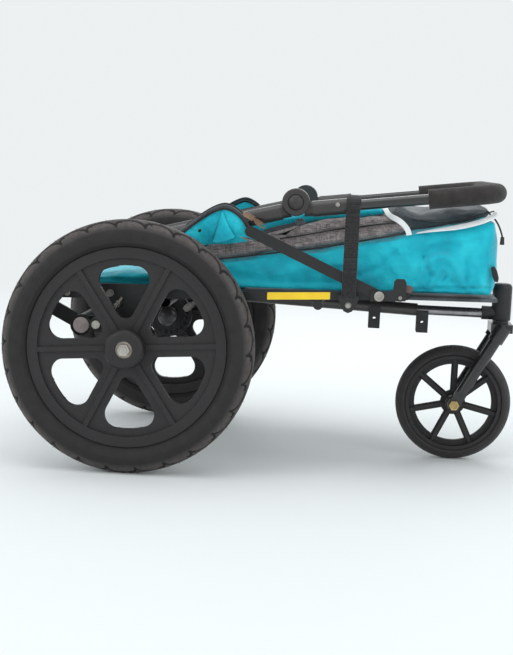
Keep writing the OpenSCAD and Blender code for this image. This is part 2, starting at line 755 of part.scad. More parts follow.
module latch() difference() {
    side_plate(strut_y + 0.2, strut_y + plate_t) bar_outline(latch_pivot, latch_tip, 12);
    side_pin(latch_pivot, 2.5 + run, strut_y - 1, strut_y + 10);
}
module latch_right() placed() color([0.35, 0.28, 0.26]) latch();
module latch_left() placed() color([0.35, 0.28, 0.26]) mirror([0, 1, 0]) latch();

strap_top = knuckle[1] + (strap_x - knuckle[0]) * tan(upper_angle) - upper_drop / cos(upper_angle);
strap_y = hook_y + plate_t + 6;  // outside the bolt heads, which it swings past

// The webbing: a loop round the handle leg and a tail down to the ring
module strap_web() placed() color([0.12, 0.12, 0.12])
    translate([strap_x - strap_w / 2, 0, 0]) rotate([90, 0, 90]) linear_extrude(strap_w) {
        translate([-handle_y, strap_top]) difference() {
            circle(r = post_r + 4.6);
            circle(r = post_r + 2.6);
        }
        polygon([[-handle_y - post_r - 2.7, strap_top + 3], [-handle_y - post_r - 4.5, strap_top + 3],
                 [-strap_y - 2, 345], [-strap_y - 2, 297], [-strap_y, 297], [-strap_y, 344]]);
    }

module strap_ring() placed() color([0.2, 0.2, 0.2]) difference() {
    side_plate(strap_y - 0.5, strap_y + 3)
        polygon([[strap_x - 16, 302], [strap_x + 16, 302], [strap_x + 17, 297],
                 [strap_x + 7, 277], [strap_x, 274], [strap_x - 7, 277], [strap_x - 17, 297]]);
    side_pin([strap_x, stud_z], 5.5, strap_y - 2, strap_y + 5);
    side_plate(strap_y - 1, strap_y + 2.2) polygon([[strap_x - 12.2, 296.8],
        [strap_x + 12.2, 296.8], [strap_x + 12.2, 303], [strap_x - 12.2, 303]]);
}

module zip_pull() placed() color([0.5, 0.42, 0.36]) difference() {
    union() {
        side_plate(zip_pin_y - 0.8, zip_pin_y + 0.8) {
            bar_outline(zip_hinge + 0.8 * zip_dir, zip_hinge + 20 * zip_dir, 4);
            bar_outline(zip_hinge + 8 * zip_dir, zip_hinge + 20 * zip_dir, 9);
        }
        zip_frame() cylinder(r = 1.4, h = 5, center = true);
    }
    zip_frame() cylinder(r = 0.8 + run, h = 12, center = true);
    side_pin(zip_hinge + 20 * zip_dir, 2.6, strut_y - 6, strut_y + 10);
}

tyre_right();
rim_right();
rim_spokes_right();
inner_tube_right();
wheel_bearings_right();
brake_disc_right();
tyre_left();
rim_left();
rim_spokes_left();
inner_tube_left();
wheel_bearings_left();
brake_disc_left();
rear_axles();
axle_housings();
rear_plates();
side_rails();
rail_plugs();
cross_tubes();
spine_tube();
nose_tube();
hitch_brackets();
head_tube();
head_bearings();
hook_plates();
frame_bolts();
pivot_pins();
brake_guides();
floor_panel();
cabin_tub();
hood_roll();
hood_layer();
front_fold();
side_gussets();
zip_slider();
brake_bar();
brake_caps();
brake_pin_right();
brake_pin_left();
front_fork();
front_axle();
front_tyre();
front_rim();
front_spokes_hub();
front_bearings();
handle_posts();
knuckle_inner();
knuckle_outer();
handle_sleeves();
grip_tube();
foam_grip();
sleeve_rivets();
knuckle_button_right();
knuckle_button_left();
strut_right();
strut_left();
latch_right();
latch_left();
strap_web();
strap_ring();
zip_pull();
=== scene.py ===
import math
import random

import bmesh
import bpy
import numpy as np
from mathutils import Matrix, Vector


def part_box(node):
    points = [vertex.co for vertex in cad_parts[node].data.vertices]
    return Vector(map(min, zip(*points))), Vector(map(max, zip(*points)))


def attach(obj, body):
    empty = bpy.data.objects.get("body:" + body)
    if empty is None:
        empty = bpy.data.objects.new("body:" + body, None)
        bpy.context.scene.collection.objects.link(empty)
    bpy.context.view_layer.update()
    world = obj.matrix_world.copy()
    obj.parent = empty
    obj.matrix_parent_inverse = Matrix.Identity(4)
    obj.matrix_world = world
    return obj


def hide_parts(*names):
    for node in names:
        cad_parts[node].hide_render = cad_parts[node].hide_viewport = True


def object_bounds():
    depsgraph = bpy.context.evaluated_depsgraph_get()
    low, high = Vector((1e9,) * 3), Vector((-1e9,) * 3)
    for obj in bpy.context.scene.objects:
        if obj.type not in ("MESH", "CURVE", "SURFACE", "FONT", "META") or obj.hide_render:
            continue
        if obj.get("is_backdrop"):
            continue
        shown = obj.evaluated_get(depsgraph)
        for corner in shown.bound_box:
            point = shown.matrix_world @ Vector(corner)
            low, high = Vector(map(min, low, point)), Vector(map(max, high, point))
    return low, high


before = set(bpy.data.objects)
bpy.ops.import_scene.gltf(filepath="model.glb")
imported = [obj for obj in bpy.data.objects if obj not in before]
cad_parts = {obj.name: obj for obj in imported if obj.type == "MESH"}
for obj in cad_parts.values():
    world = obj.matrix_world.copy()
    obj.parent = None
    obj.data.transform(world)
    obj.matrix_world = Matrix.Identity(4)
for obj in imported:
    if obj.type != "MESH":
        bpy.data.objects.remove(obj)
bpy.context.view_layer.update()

# ---------- camera ----------
# Stands low on the stroller's right side, a little in front of its middle, and looks
# slightly down. Millimetres in this script are measured from the rear axle's middle.
rear_low, rear_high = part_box("tyre_right")
axle_x = (rear_low.x + rear_high.x) / 2
TO_FRAME = Matrix.Translation((axle_x, 0, 0)) @ Matrix.Scale(0.001, 4)


def spot(x, y, z):
    """A point given in millimetres from the rear axle, in the frame's metres"""
    return TO_FRAME @ Vector((x, y, z))


camera_place = spot(360.3, -2490.5, 510.9)
camera_yaw, camera_pitch, camera_roll = map(math.radians, (-3.983, -6.753, 2.591))
ahead = Vector((
    math.sin(camera_yaw) * math.cos(camera_pitch),
    math.cos(camera_yaw) * math.cos(camera_pitch),
    math.sin(camera_pitch),
))
level_right = ahead.cross(Vector((0, 0, 1))).normalized()
level_up = level_right.cross(ahead)
cam_right = level_right * math.cos(camera_roll) + level_up * math.sin(camera_roll)
cam_up = level_up * math.cos(camera_roll) - level_right * math.sin(camera_roll)
turned = Matrix((cam_right, cam_up, -ahead)).transposed().to_4x4()
camera_data = bpy.data.cameras.new("camera")
camera_data.lens = 77.34
camera_data.sensor_width = 36
camera = bpy.data.objects.new("camera", camera_data)
camera.matrix_world = Matrix.Translation(camera_place) @ turned
bpy.context.scene.collection.objects.link(camera)
bpy.context.scene.camera = camera
bpy.context.scene.view_settings.view_transform = "Standard"

# ---------- floor and studio light ----------
# A pale seamless floor that runs out to a pale room, a large soft box overhead, and two
# more at the sides, so that edges get long soft highlights and shadows stay faint.


def tint(red, green, blue):
    """A colour as it looks on screen, in the shader's linear values"""
    return tuple((c / 255) ** 2.2 for c in (red, green, blue)) + (1.0,)


room = bpy.data.worlds.new("pale_room")
room.use_nodes = True
room.node_tree.nodes["Background"].inputs["Color"].default_value = tint(236, 240, 241)
room.node_tree.nodes["Background"].inputs["Strength"].default_value = 1.0
bpy.context.scene.world = room

floor_mesh = bpy.data.meshes.new("studio_floor")
bm = bmesh.new()
bmesh.ops.create_circle(bm, cap_ends=True, segments=96, radius=40)
bm.to_mesh(floor_mesh)
bm.free()
floor = bpy.data.objects.new("studio_floor", floor_mesh)
bpy.context.scene.collection.objects.link(floor)
floor_finish = bpy.data.materials.new("floor_paint")
floor_finish.use_nodes = True
floor_shader = floor_finish.node_tree.nodes["Principled BSDF"]
floor_shader.inputs["Base Color"].default_value = tint(231, 235, 236)
floor_shader.inputs["Roughness"].default_value = 0.85
floor_nodes, floor_links = floor_finish.node_tree.nodes, floor_finish.node_tree.links
floor_place = floor_nodes.new("ShaderNodeTexCoord")
floor_far = floor_nodes.new("ShaderNodeVectorMath")
floor_far.operation = "LENGTH"
floor_share = floor_nodes.new("ShaderNodeMapRange")
floor_share.interpolation_type = "SMOOTHSTEP"
floor_share.inputs["From Min"].default_value = 0.7
floor_share.inputs["From Max"].default_value = 4.0
floor_glow = floor_nodes.new("ShaderNodeEmission")
floor_glow.inputs["Color"].default_value = tint(236, 240, 241)
floor_mix = floor_nodes.new("ShaderNodeMixShader")
for source, target in (
        (floor_place.outputs["Object"], floor_far.inputs[0]),
        (floor_far.outputs["Value"], floor_share.inputs["Value"]),
        (floor_share.outputs["Result"], floor_mix.inputs["Fac"]),
        (floor_shader.outputs[0], floor_mix.inputs[1]),
        (floor_glow.outputs[0], floor_mix.inputs[2]),
        (floor_mix.outputs[0], floor_nodes["Material Output"].inputs["Surface"])):
    floor_links.new(source, target)
floor_mesh.materials.append(floor_finish)
floor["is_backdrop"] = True


def soft_box(name, place, aim, size, power):
    light = bpy.data.lights.new(name, "AREA")
    light.shape = "RECTANGLE"
    light.size, light.size_y = size
    light.energy = power
    lamp = bpy.data.objects.new(name, light)
    lamp.location = place
    lamp.rotation_euler = (Vector(aim) - Vector(place)).to_track_quat("-Z", "Y").to_euler()
    bpy.context.scene.collection.objects.link(lamp)


soft_box("overhead_box", (0.0, -0.3, 2.6), (0, 0, 0.2), (2.6, 2.0), 17)
soft_box("left_box", (-2.2, -2.0, 1.7), (-0.1, 0, 0.2), (1.6, 1.4), 15)
soft_box("right_box", (2.4, -1.8, 1.4), (0.2, 0, 0.2), (1.4, 1.4), 11)
soft_box("back_box", (0.4, 2.6, 1.6), (0, 0, 0.25), (2.0, 1.2), 16)

# ---------- rear tyres ----------
# Sixteen inch air tyres of black rubber, moulded with scalloped grooves on both
# shoulders, short curved sipes on the crown and the thin hairs that the vents leave.


def new_finish(name, rough, metal=0.0, sheen=0.0, coat=0.0, specular=0.5):
    finish = bpy.data.materials.new(name)
    finish.use_nodes = True
    shader = finish.node_tree.nodes["Principled BSDF"]
    shader.inputs["Roughness"].default_value = rough
    shader.inputs["Metallic"].default_value = metal
    shader.inputs["Specular IOR Level"].default_value = specular
    shader.inputs["Sheen Weight"].default_value = sheen
    shader.inputs["Coat Weight"].default_value = coat
    shader.inputs["Coat Roughness"].default_value = 0.12
    return finish


def add_node(finish, kind, **settings):
    """A node with its named settings; a setting that isn't an attribute is an input"""
    node = finish.node_tree.nodes.new("ShaderNode" + kind)
    for key, value in settings.items():
        if hasattr(node, key):
            setattr(node, key, value)
        else:
            node.inputs[key.replace("_", " ")].default_value = value
    return node


def join(finish, source, target):
    finish.node_tree.links.new(source, target)


def shader_of(finish):
    return finish.node_tree.nodes["Principled BSDF"]


def place_of(finish, stretch=(1, 1, 1), centre=(0, 0, 0)):
    """Object coordinates, moved so that centre is the middle, then stretched"""
    coords = add_node(finish, "TexCoord")
    move = add_node(finish, "VectorMath", operation="SUBTRACT")
    move.inputs[1].default_value = centre
    scale = add_node(finish, "VectorMath", operation="MULTIPLY")
    scale.inputs[1].default_value = stretch
    join(finish, coords.outputs["Object"], move.inputs[0])
    join(finish, move.outputs[0], scale.inputs[0])
    return scale.outputs[0]


def mottle(finish, scale, detail=3.0, stretch=(1, 1, 1)):
    cloud = add_node(finish, "TexNoise", Scale=scale, Detail=detail)
    join(finish, place_of(finish, stretch), cloud.inputs["Vector"])
    return cloud.outputs["Fac"]


def grade(finish, amount, *stops):
    """Colours along an amount, each stop being a position and a colour"""
    ramp = add_node(finish, "ValToRGB")
    while len(ramp.color_ramp.elements) < len(stops):
        ramp.color_ramp.elements.new(0.5)
    for element, (position, shade) in zip(ramp.color_ramp.elements, stops):
        element.position = position
        element.color = shade
    join(finish, amount, ramp.inputs["Fac"])
    return ramp.outputs["Color"]


def remap(finish, amount, low, high, from_low=0.3, from_high=0.7):
    span = add_node(finish, "MapRange")
    for key, value in zip(("From Min", "From Max", "To Min", "To Max"),
                          (from_low, from_high, low, high)):
        span.inputs[key].default_value = value
    join(finish, amount, span.inputs["Value"])
    return span.outputs["Result"]


def math_node(finish, operation, first, second):
    step = add_node(finish, "Math", operation=operation)
    for socket, value in zip(step.inputs, (first, second)):
        if isinstance(value, (int, float)):
            socket.default_value = value
        else:
            join(finish, value, socket)
    return step.outputs[0]


def worn_edges(finish, base, worn, radius=0.001, strength=0.6):
    """Lightens the outer edges, broken up by a noise"""
    rounded = add_node(finish, "Bevel", samples=6, Radius=radius)
    face = add_node(finish, "NewGeometry")
    dot = add_node(finish, "VectorMath", operation="DOT_PRODUCT")
    join(finish, rounded.outputs[0], dot.inputs[0])
    join(finish, face.outputs["Normal"], dot.inputs[1])
    edge = remap(finish, dot.outputs["Value"], 1.0, 0.0, 0.78, 0.985)
    rubbed = math_node(finish, "MULTIPLY", edge, remap(finish, mottle(finish, 90), 0, strength))
    blend = add_node(finish, "Mix", data_type="RGBA")
    join(finish, rubbed, blend.inputs[0])
    join(finish, base, blend.inputs[6])
    blend.inputs[7].default_value = worn
    return blend.outputs[2]


def grain(finish, layers, edge_radius=0.0):
    """Bumps one on another, each an amount and its height in millimetres"""
    normal = None
    if edge_radius:
        normal = add_node(finish, "Bevel", samples=6, Radius=edge_radius).outputs[0]
    for amount, height in layers:
        bump = add_node(finish, "Bump", Strength=1.0, Distance=height / 1000)
        join(finish, amount, bump.inputs["Height"])
        if normal is not None:
            join(finish, normal, bump.inputs["Normal"])
        normal = bump.outputs[0]
    join(finish, normal, shader_of(finish).inputs["Normal"])


def colour_from(finish, source):
    join(finish, source, shader_of(finish).inputs["Base Color"])


def rough_from(finish, source):
    join(finish, source, shader_of(finish).inputs["Roughness"])


def rubber(name, centre, tread_r, tread_light, side_dark):
    """Tyre rubber: smooth and dark on the wall, dusty and greyer out on the tread, with painted
    shade in the grooves
    """
    finish = new_finish(name, 0.6, specular=0.35)
    away = add_node(finish, "VectorMath", operation="LENGTH")
    join(finish, place_of(finish, (1, 0, 1), centre), away.inputs[0])
    outward = remap(finish, away.outputs["Value"], 0, 1, tread_r - 0.006, tread_r + 0.003)
    dust = math_node(finish, "MULTIPLY", outward,
                     remap(finish, mottle(finish, 140, 6), 0.55, 1.0))
    # painted shade: the grooves get none of the greyer tread tone and are darkened by their cut
    # depth
    cut = add_node(finish, "Attribute", attribute_name="cut")
    outside_grooves = math_node(finish, "SUBTRACT", 1.0, cut.outputs["Fac"])
    shown = math_node(finish, "MULTIPLY", dust, outside_grooves)
    groove_shade = grade(finish, cut.outputs["Fac"], (0.1, (1, 1, 1, 1)), (0.8, (0.22, 0.22, 0.22, 1)))
    dark = add_node(finish, "Mix", data_type="RGBA", blend_type="MULTIPLY")
    dark.inputs[0].default_value = 1.0
    join(finish, grade(finish, shown, (0.0, side_dark), (1.0, tread_light)), dark.inputs[6])
    join(finish, groove_shade, dark.inputs[7])
    colour_from(finish, dark.outputs[2])
    rough_from(finish, remap(finish, mottle(finish, 60), 0.5, 0.72))
    grain(finish, [(mottle(finish, 900, 2), 0.12), (mottle(finish, 35, 3), 0.35)])
    return finish


def new_piece(name, bm, finish, body, smooth=True):
    """A finished mesh in millimetres becomes a piece in the frame, riding on a body"""
    bmesh.ops.transform(bm, matrix=TO_FRAME, verts=bm.verts)
    mesh = bpy.data.meshes.new(name)
    bm.to_mesh(mesh)
    bm.free()
    for face in mesh.polygons:
        face.use_smooth = smooth
    mesh.materials.append(finish)
    piece = bpy.data.objects.new(name, mesh)
    bpy.context.scene.collection.objects.link(piece)
    if body:
        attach(piece, body)
    return piece


def spun(profile, centre, steps):
    """A closed profile of (radius, width) points spun round an axle along Y"""
    bm = bmesh.new()
    ring = [bm.verts.new((centre[0] + r, centre[1] + w, centre[2])) for r, w in profile]
    edges = [bm.edges.new((ring[k], ring[(k + 1) % len(ring)])) for k in range(len(ring))]
    bmesh.ops.spin(bm, geom=ring + edges, cent=centre, axis=(0, 1, 0),
                   angle=2 * math.pi, steps=steps, use_merge=True)
    bmesh.ops.remove_doubles(bm, verts=bm.verts, dist=0.0005)
    bmesh.ops.recalc_face_normals(bm, faces=bm.faces)
    return bm


REAR_TYRE_R, TYRE_HALF_W, SCALLOPS = 205.0, 27.0, 26
RING_R = REAR_TYRE_R - TYRE_HALF_W


def tread_depth(turn, phi):
    """How deep the tread is cut at a turn round the wheel and an angle over the crown"""
    side = 0.5 if phi < 0 else 0.0
    along = (turn * SCALLOPS / (2 * math.pi) + side) % 1.0
    across = abs(math.degrees(phi))
    half_pitch = math.pi * 200 / SCALLOPS
    x = (2 * along - 1) * half_pitch + 3.0 * math.sin(math.radians(across) * 4)
    y = (53 - across) * 0.471
    depth = 0.0
    if y > -0.5:
        size_x, size_y = half_pitch, 14.6
        level = (x / size_x) ** 2 + (y / size_y) ** 2 - 1
        slope = 2 * math.hypot(x / size_x ** 2, y / size_y ** 2)
        depth = max(depth, 1.0 - abs(level) / max(slope, 1e-6) / 2.9)
    sipe = abs((along - 0.5) * 2 * half_pitch - 5.0 * math.sin((across - 12) / 8))
    if 6 < across < 19:
        depth = max(depth, 1.0 - sipe / 1.9)
    stub = abs(along * 2 * half_pitch - 4.0 - (across - 20) * 0.35)
    if 22 < across < 38:
        depth = max(depth, 1.0 - stub / 1.8)
    return 2.1 * min(1.0, max(0.0, depth) * 1.6)


tyre_profile = [(153.0, -8.6), (153.0, 8.6), (153.5, 12.6), (160.8, 12.7), (161.3, 14.4),
                (162.2, 18.2), (164.2, 21.0), (167.0, 23.1)]
for degrees in range(-111, 112, 3):
    phi = math.radians(degrees)
    tyre_profile.append((RING_R + TYRE_HALF_W * math.cos(phi),
                         -TYRE_HALF_W * math.sin(phi)))
wall_points = [(167.0, -23.1), (164.2, -21.0), (162.2, -18.2), (161.3, -14.4),
               (160.8, -12.7), (153.5, -12.6)]
tyre_profile += wall_points
rubber_side, rubber_tread = tint(40, 38, 39), tint(84, 79, 77)

for side, sign in (("right", -1), ("left", 1)):
    wheel_mid = Vector((0, sign * 270, REAR_TYRE_R))
    bm = spun(tyre_profile, wheel_mid, SCALLOPS * 32)
    cut_layer = bm.verts.layers.float.new("cut")
    for v in bm.verts:
        offset = v.co - wheel_mid
        radius = math.hypot(offset.x, offset.z)
        phi = math.atan2(offset.y * sign, radius - RING_R)
        out = Vector((offset.x / radius * (radius - RING_R), offset.y,
                      offset.z / radius * (radius - RING_R)))
        if out.length < TYRE_HALF_W - 0.8:
            continue
        cut = tread_depth(math.atan2(offset.z, offset.x) * sign, phi)
        # the cut depth is kept for the painted shade in the tread grooves
        v[cut_layer] = cut / 2.1
        degrees = abs(math.degrees(phi))
        ridge = 0.45 * math.exp(-((degrees - 92) / 1.8) ** 2)
        ridge += 0.35 * math.exp(-((degrees - 62) / 2.2) ** 2)
        shoulder = 0.5 if degrees < 55 else 0.0
        v.co += out.normalized() * (shoulder + ridge - cut - 0.5)
    tyre = new_piece(f"tyre_tread_{side}", bm, rubber(
        f"tyre_rubber_{side}", spot(*wheel_mid), 0.1935, rubber_tread, rubber_side),
        f"rear_wheel_{side}")
    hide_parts(f"tyre_{side}")

    hairs = bmesh.new()
    rng = random.Random(5)
    for k in range(SCALLOPS * 3):
        turn = 2 * math.pi * (k + 0.3 * rng.random()) / (SCALLOPS * 3)
        lean = rng.uniform(-0.5, 0.5)
        across = (k % 3 - 1) * 11.0
        tall = rng.uniform(2.2, 3.8)
        top = Matrix.Translation(wheel_mid) @ Matrix.Rotation(-turn, 4, "Y")
        top = top @ Matrix.Translation((REAR_TYRE_R - 0.7 - abs(across) * 0.19, across, 0))
        top = top @ Matrix.Rotation(math.pi / 2 + lean, 4, "Y")
        bmesh.ops.create_cone(hairs, cap_ends=True, segments=5, radius1=0.42, radius2=0.2,
                              depth=tall, matrix=top @ Matrix.Translation((0, 0, tall / 2)))
    new_piece(f"vent_hairs_{side}", hairs, tyre.data.materials[0],
              f"rear_wheel_{side}")

# ---------- rims, spokes and hubs ----------
# One-piece black nylon mouldings with a fine spark texture, six broad spokes with a rib
# down each, and a round boss. The metal valve stands in its hole with a plastic cap.


def moulded(name, dark, light, rough, texture_mm=0.16, worn=None):
    finish = new_finish(name, rough, specular=0.45)
    cloud = mottle(finish, 9, 4)
    base = grade(finish, cloud, (0.3, dark), (0.7, light))
    if worn:
        base = worn_edges(finish, base, worn)
    colour_from(finish, base)
    rough_from(finish, remap(finish, mottle(finish, 160), rough - 0.06, rough + 0.1))
    grain(finish, [(mottle(finish, 1300, 2), texture_mm), (mottle(finish, 30, 2), 0.2)],
          edge_radius=0.0009)
    return finish


def dress(finish, *nodes):
    """A CAD node keeps its mesh and gets a finish"""
    for name in nodes:
        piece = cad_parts[name]
        for slot in piece.material_slots:
            slot.link = "OBJECT"
            slot.material = finish


rim_finish = moulded("rim_moulding", tint(34, 32, 33), tint(42, 40, 41), 0.5,
                     worn=tint(74, 72, 72))
dress(rim_finish, "rim_right", "rim_left", "rim_spokes_right", "rim_spokes_left",
      "front_rim", "front_spokes_hub")
tube_finish = moulded("tube_rubber", tint(70, 68, 66), tint(92, 89, 86), 0.6)
dress(tube_finish, "inner_tube_right", "inner_tube_left")
VALVE_ANGLE = math.radians(36)
for side, sign in (("right", -1), ("left", 1)):
    bm = bmesh.new()
    lean = Matrix.Translation((0, sign * 270, REAR_TYRE_R)) @ Matrix.Rotation(
        -VALVE_ANGLE, 4, "Y") @ Matrix.Rotation(math.pi / 2, 4, "Y")
    for at, r1, r2, depth in ((111.0, 3.4, 5.3, 3.0), (117.0, 5.3, 5.3, 9.0),
                              (123.4, 4.6, 4.2, 3.6)):
        bmesh.ops.create_cone(bm, cap_ends=True, segments=20, radius1=r1, radius2=r2,
                              depth=depth, matrix=lean @ Matrix.Translation((0, 0, at)))
    for k in range(10):
        flute = Matrix.Rotation(k * math.pi / 5, 4, "Z") @ Matrix.Translation((5.3, 0, 117))
        bmesh.ops.create_cone(bm, cap_ends=True, segments=6, radius1=0.6, radius2=0.6,
                              depth=8.5, matrix=lean @ flute)
    new_piece(f"valve_cap_{side}", bm, tube_finish, f"rear_wheel_{side}",
              smooth=False)

# ---------- steel hardware ----------
# Zinc plated axles, nuts, bolts, rivets and pins, and ground bearing rings. Turned and
# drawn steel shows fine rings and scratches, and dulls where fingers have been.


def plated(name, dark, light, rough, coat=0.0):
    finish = new_finish(name, rough, metal=1.0, coat=coat)
    colour_from(finish, grade(finish, mottle(finish, 50, 4), (0.3, dark), (0.7, light)))
    rough_from(finish, remap(finish, mottle(finish, 300, 3, (1, 1, 6)),
                             rough - 0.08, rough + 0.16))
    grain(finish, [(mottle(finish, 700, 2, (1, 1, 8)), 0.05)], edge_radius=0.0005)
    return finish


zinc = plated("zinc_plate", tint(150, 146, 140), tint(206, 202, 195), 0.3)
dress(zinc, "rear_axles", "frame_bolts", "pivot_pins", "brake_pin_right", "brake_pin_left",
      "sleeve_rivets", "brake_guides")
dress(plated("bearing_rings", tint(120, 112, 104), tint(170, 162, 152), 0.34),
      "wheel_bearings_right", "wheel_bearings_left", "head_bearings", "front_bearings")
dress(plated("brass_plate", tint(150, 128, 86), tint(196, 172, 120), 0.32), "front_axle")

# ---------- painted frame ----------
# Welded steel tube and plate under satin black powder coat, with faint orange peel and
# the coat rubbed thin on its edges. The nose tube is bare, dark and polished.


def painted(name, dark, light, rough, worn, coat=0.0, peel_mm=0.35):
    finish = new_finish(name, rough, coat=coat)
    base = grade(finish, mottle(finish, 14, 4), (0.3, dark), (0.7, light))
    colour_from(finish, worn_edges(finish, base, worn, 0.0008, 0.5))
    rough_from(finish, remap(finish, mottle(finish, 70, 4), rough - 0.07, rough + 0.1))
    grain(finish, [(mottle(finish, 330, 2), peel_mm * 0.4)], edge_radius=0.0008)
    return finish


frame_paint = painted("frame_powder_coat", tint(24, 24, 25), tint(33, 33, 34), 0.4,
                      tint(86, 84, 82))
dress(frame_paint, "rear_plates", "side_rails", "cross_tubes", "hitch_brackets",
      "hook_plates", "brake_bar", "strut_right", "strut_left")
fork_paint = painted("fork_paint", tint(30, 30, 31), tint(40, 39, 40), 0.34,
                     tint(92, 90, 88), coat=0.3)
dress(fork_paint, "front_fork")
dress(painted("spine_paint", tint(50, 48, 47), tint(64, 61, 59), 0.36, tint(98, 95, 92),
              coat=0.3), "spine_tube")
dress(plated("polished_nose", tint(120, 118, 120), tint(158, 156, 158), 0.16, coat=0.4),
      "nose_tube")
black_plastic = moulded("black_plastic", tint(27, 27, 28), tint(38, 38, 39), 0.42,
                        texture_mm=0.1, worn=tint(80, 78, 77))
dress(black_plastic, "rail_plugs", "brake_caps", "strap_ring", "head_tube",
      "brake_disc_right", "brake_disc_left")
dress(moulded("axle_cover", tint(56, 54, 56), tint(74, 72, 74), 0.36, texture_mm=0.06),
      "axle_housings")

# ---------- finger marker ----------
# A plain yellow film without print, with rounded corners and a thin black border, stuck
# along each side rail where the handle folds down on it.


def plate(outline, y_low, y_high, edge=0.0, segments=2):
    """An outline in x and z made a plate between two distances across, edges rounded"""
    bm = bmesh.new()
    ring = [bm.verts.new((x, y_low, z)) for x, z in outline]
    face = bm.faces.new(ring)
    grown = bmesh.ops.extrude_face_region(bm, geom=[face])
    moved = [g for g in grown["geom"] if isinstance(g, bmesh.types.BMVert)]
    bmesh.ops.translate(bm, verts=moved, vec=(0, y_high - y_low, 0))
    bmesh.ops.recalc_face_normals(bm, faces=bm.faces)
    if edge:
        bmesh.ops.bevel(bm, geom=bm.edges[:], offset=edge, segments=segments, profile=0.5,
                        affect="EDGES", material=-1, clamp_overlap=True)
    return bm


def rounded_strip(x0, x1, low, high, slope, corner):
    """The outline of a strip with rounded corners along a sloping rail"""
    points = []
    for cx, cz, start in ((x1 - corner, high - corner, 0), (x0 + corner, high - corner, 90),
                          (x0 + corner, low + corner, 180), (x1 - corner, low + corner, 270)):
        for k in range(4):
            a = math.radians(start + k * 30)
            x = cx + corner * math.cos(a)
            points.append((x, cz + corner * math.sin(a) + slope * (x - x0)))
    return points


film = new_finish("marker_film", 0.32, coat=0.5)
colour_from(film, grade(film, mottle(film, 40, 3), (0.3, tint(246, 200, 8)),
                        (0.7, tint(252, 214, 24))))
grain(film, [(mottle(film, 120, 2), 0.06)])
border = new_finish("marker_border", 0.4, coat=0.4)
colour_from(border, grade(border, mottle(border, 60), (0.3, tint(20, 20, 20)),
                          (0.7, tint(32, 32, 32))))
grain(border, [(mottle(border, 120, 2), 0.05)])
for side, sign in (("right", -1), ("left", 1)):
    new_piece(f"marker_border_{side}", plate(
        rounded_strip(216.0, 320.0, 286.6, 300.2, 0.0535, 1.4), sign * 214.9, sign * 215.3),
        border, "chassis", smooth=False)
    new_piece(f"finger_marker_{side}", plate(
        rounded_strip(217.0, 319.0, 287.5, 299.3, 0.0535, 1.0), sign * 215.2, sign * 215.6),
        film, "chassis", smooth=False)

# ---------- brake ----------
# A steel tube with a pedal at each end lies across the back. Its plastic caps carry a
# plain pale disc, and a sprung clip sits on the cover of each stub axle.
pale_film = new_finish("pale_disc", 0.45, coat=0.2)
colour_from(pale_film, grade(pale_film, mottle(pale_film, 130, 4), (0.3, tint(196, 178, 176)),
                             (0.7, tint(214, 202, 200))))
grain(pale_film, [(mottle(pale_film, 200), 0.05)])
for side, sign in (("right", -1), ("left", 1)):
    bm = bmesh.new()
    across = Matrix.Translation((-92, sign * 194.5, 227)) @ Matrix.Rotation(
        math.pi / 2, 4, "X")
    bmesh.ops.create_cone(bm, cap_ends=True, segments=48, radius1=13.2, radius2=13.2,
                          depth=0.8, matrix=across)
    bmesh.ops.bevel(bm, geom=[e for e in bm.edges if e.is_manifold and e.calc_face_angle() > 1],
                    offset=0.25, segments=2, profile=0.5, affect="EDGES", material=-1)
    new_piece(f"pale_disc_{side}", bm, pale_film, "brake_pedal")

    clip = bmesh.new()
    middle = Vector((-18.6 * math.sin(math.radians(52)), 0, 18.6 * math.cos(math.radians(52))))
    first = [clip.verts.new(middle + Vector((0, y, 0))) for y in (-4, 4)]
    edge = clip.edges.new(first)
    bmesh.ops.spin(clip, geom=first + [edge], cent=(0, 0, 0), axis=(0, 1, 0),
                   angle=math.radians(96), steps=24)
    bmesh.ops.translate(clip, verts=clip.verts, vec=(0, sign * 205, 205))
    clip = new_piece(f"axle_clip_{side}", clip, zinc, "chassis")
    wall = clip.modifiers.new("wall", "SOLIDIFY")
    wall.thickness = 0.0012
    wall.offset = 1

# ---------- front wheel ----------
# A small air tyre on a seven spoked nylon wheel. Its tread is three shallow grooves round
# the crown with fine cross cuts between them.
FRONT_R, FRONT_PITCH = 101.5, 96
front_profile = [(82.5, -9.0), (82.5, 9.0), (84.6, 14.8), (86.0, 16.8)]
for step in range(41):
    phi = math.radians(80 - step * 4)
    front_profile.append((84.5 + 17.0 * abs(math.cos(phi)) ** 0.85,
                          18.0 * math.copysign(abs(math.sin(phi)) ** 0.9, phi)))
front_profile += [(86.0, -16.8), (84.6, -14.8)]
front_mid = Vector((542, 0, FRONT_R))
bm = spun(front_profile, front_mid, FRONT_PITCH * 6)
for v in bm.verts:
    offset = v.co - front_mid
    radius = math.hypot(offset.x, offset.z)
    if radius < 94:
        continue
    outward = Vector((offset.x / radius, 0, offset.z / radius))
    turn = (math.atan2(offset.z, offset.x) * FRONT_PITCH / (2 * math.pi)) % 1.0
    grooves = max(1 - abs(abs(offset.y) - at) / 1.0 for at in (0.0, 5.2, 10.4))
    cross = 1 - abs(turn - 0.5) * 5 if 5.8 < abs(offset.y) < 14 else 0
    v.co -= outward * 0.9 * min(1.0, max(0.0, grooves, cross))
front_tyre = new_piece("front_tyre_tread", bm, rubber(
    "front_tyre_rubber", spot(*front_mid), 0.098, tint(74, 71, 70), tint(50, 48, 49)),
    "front_wheel")
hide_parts("front_tyre")

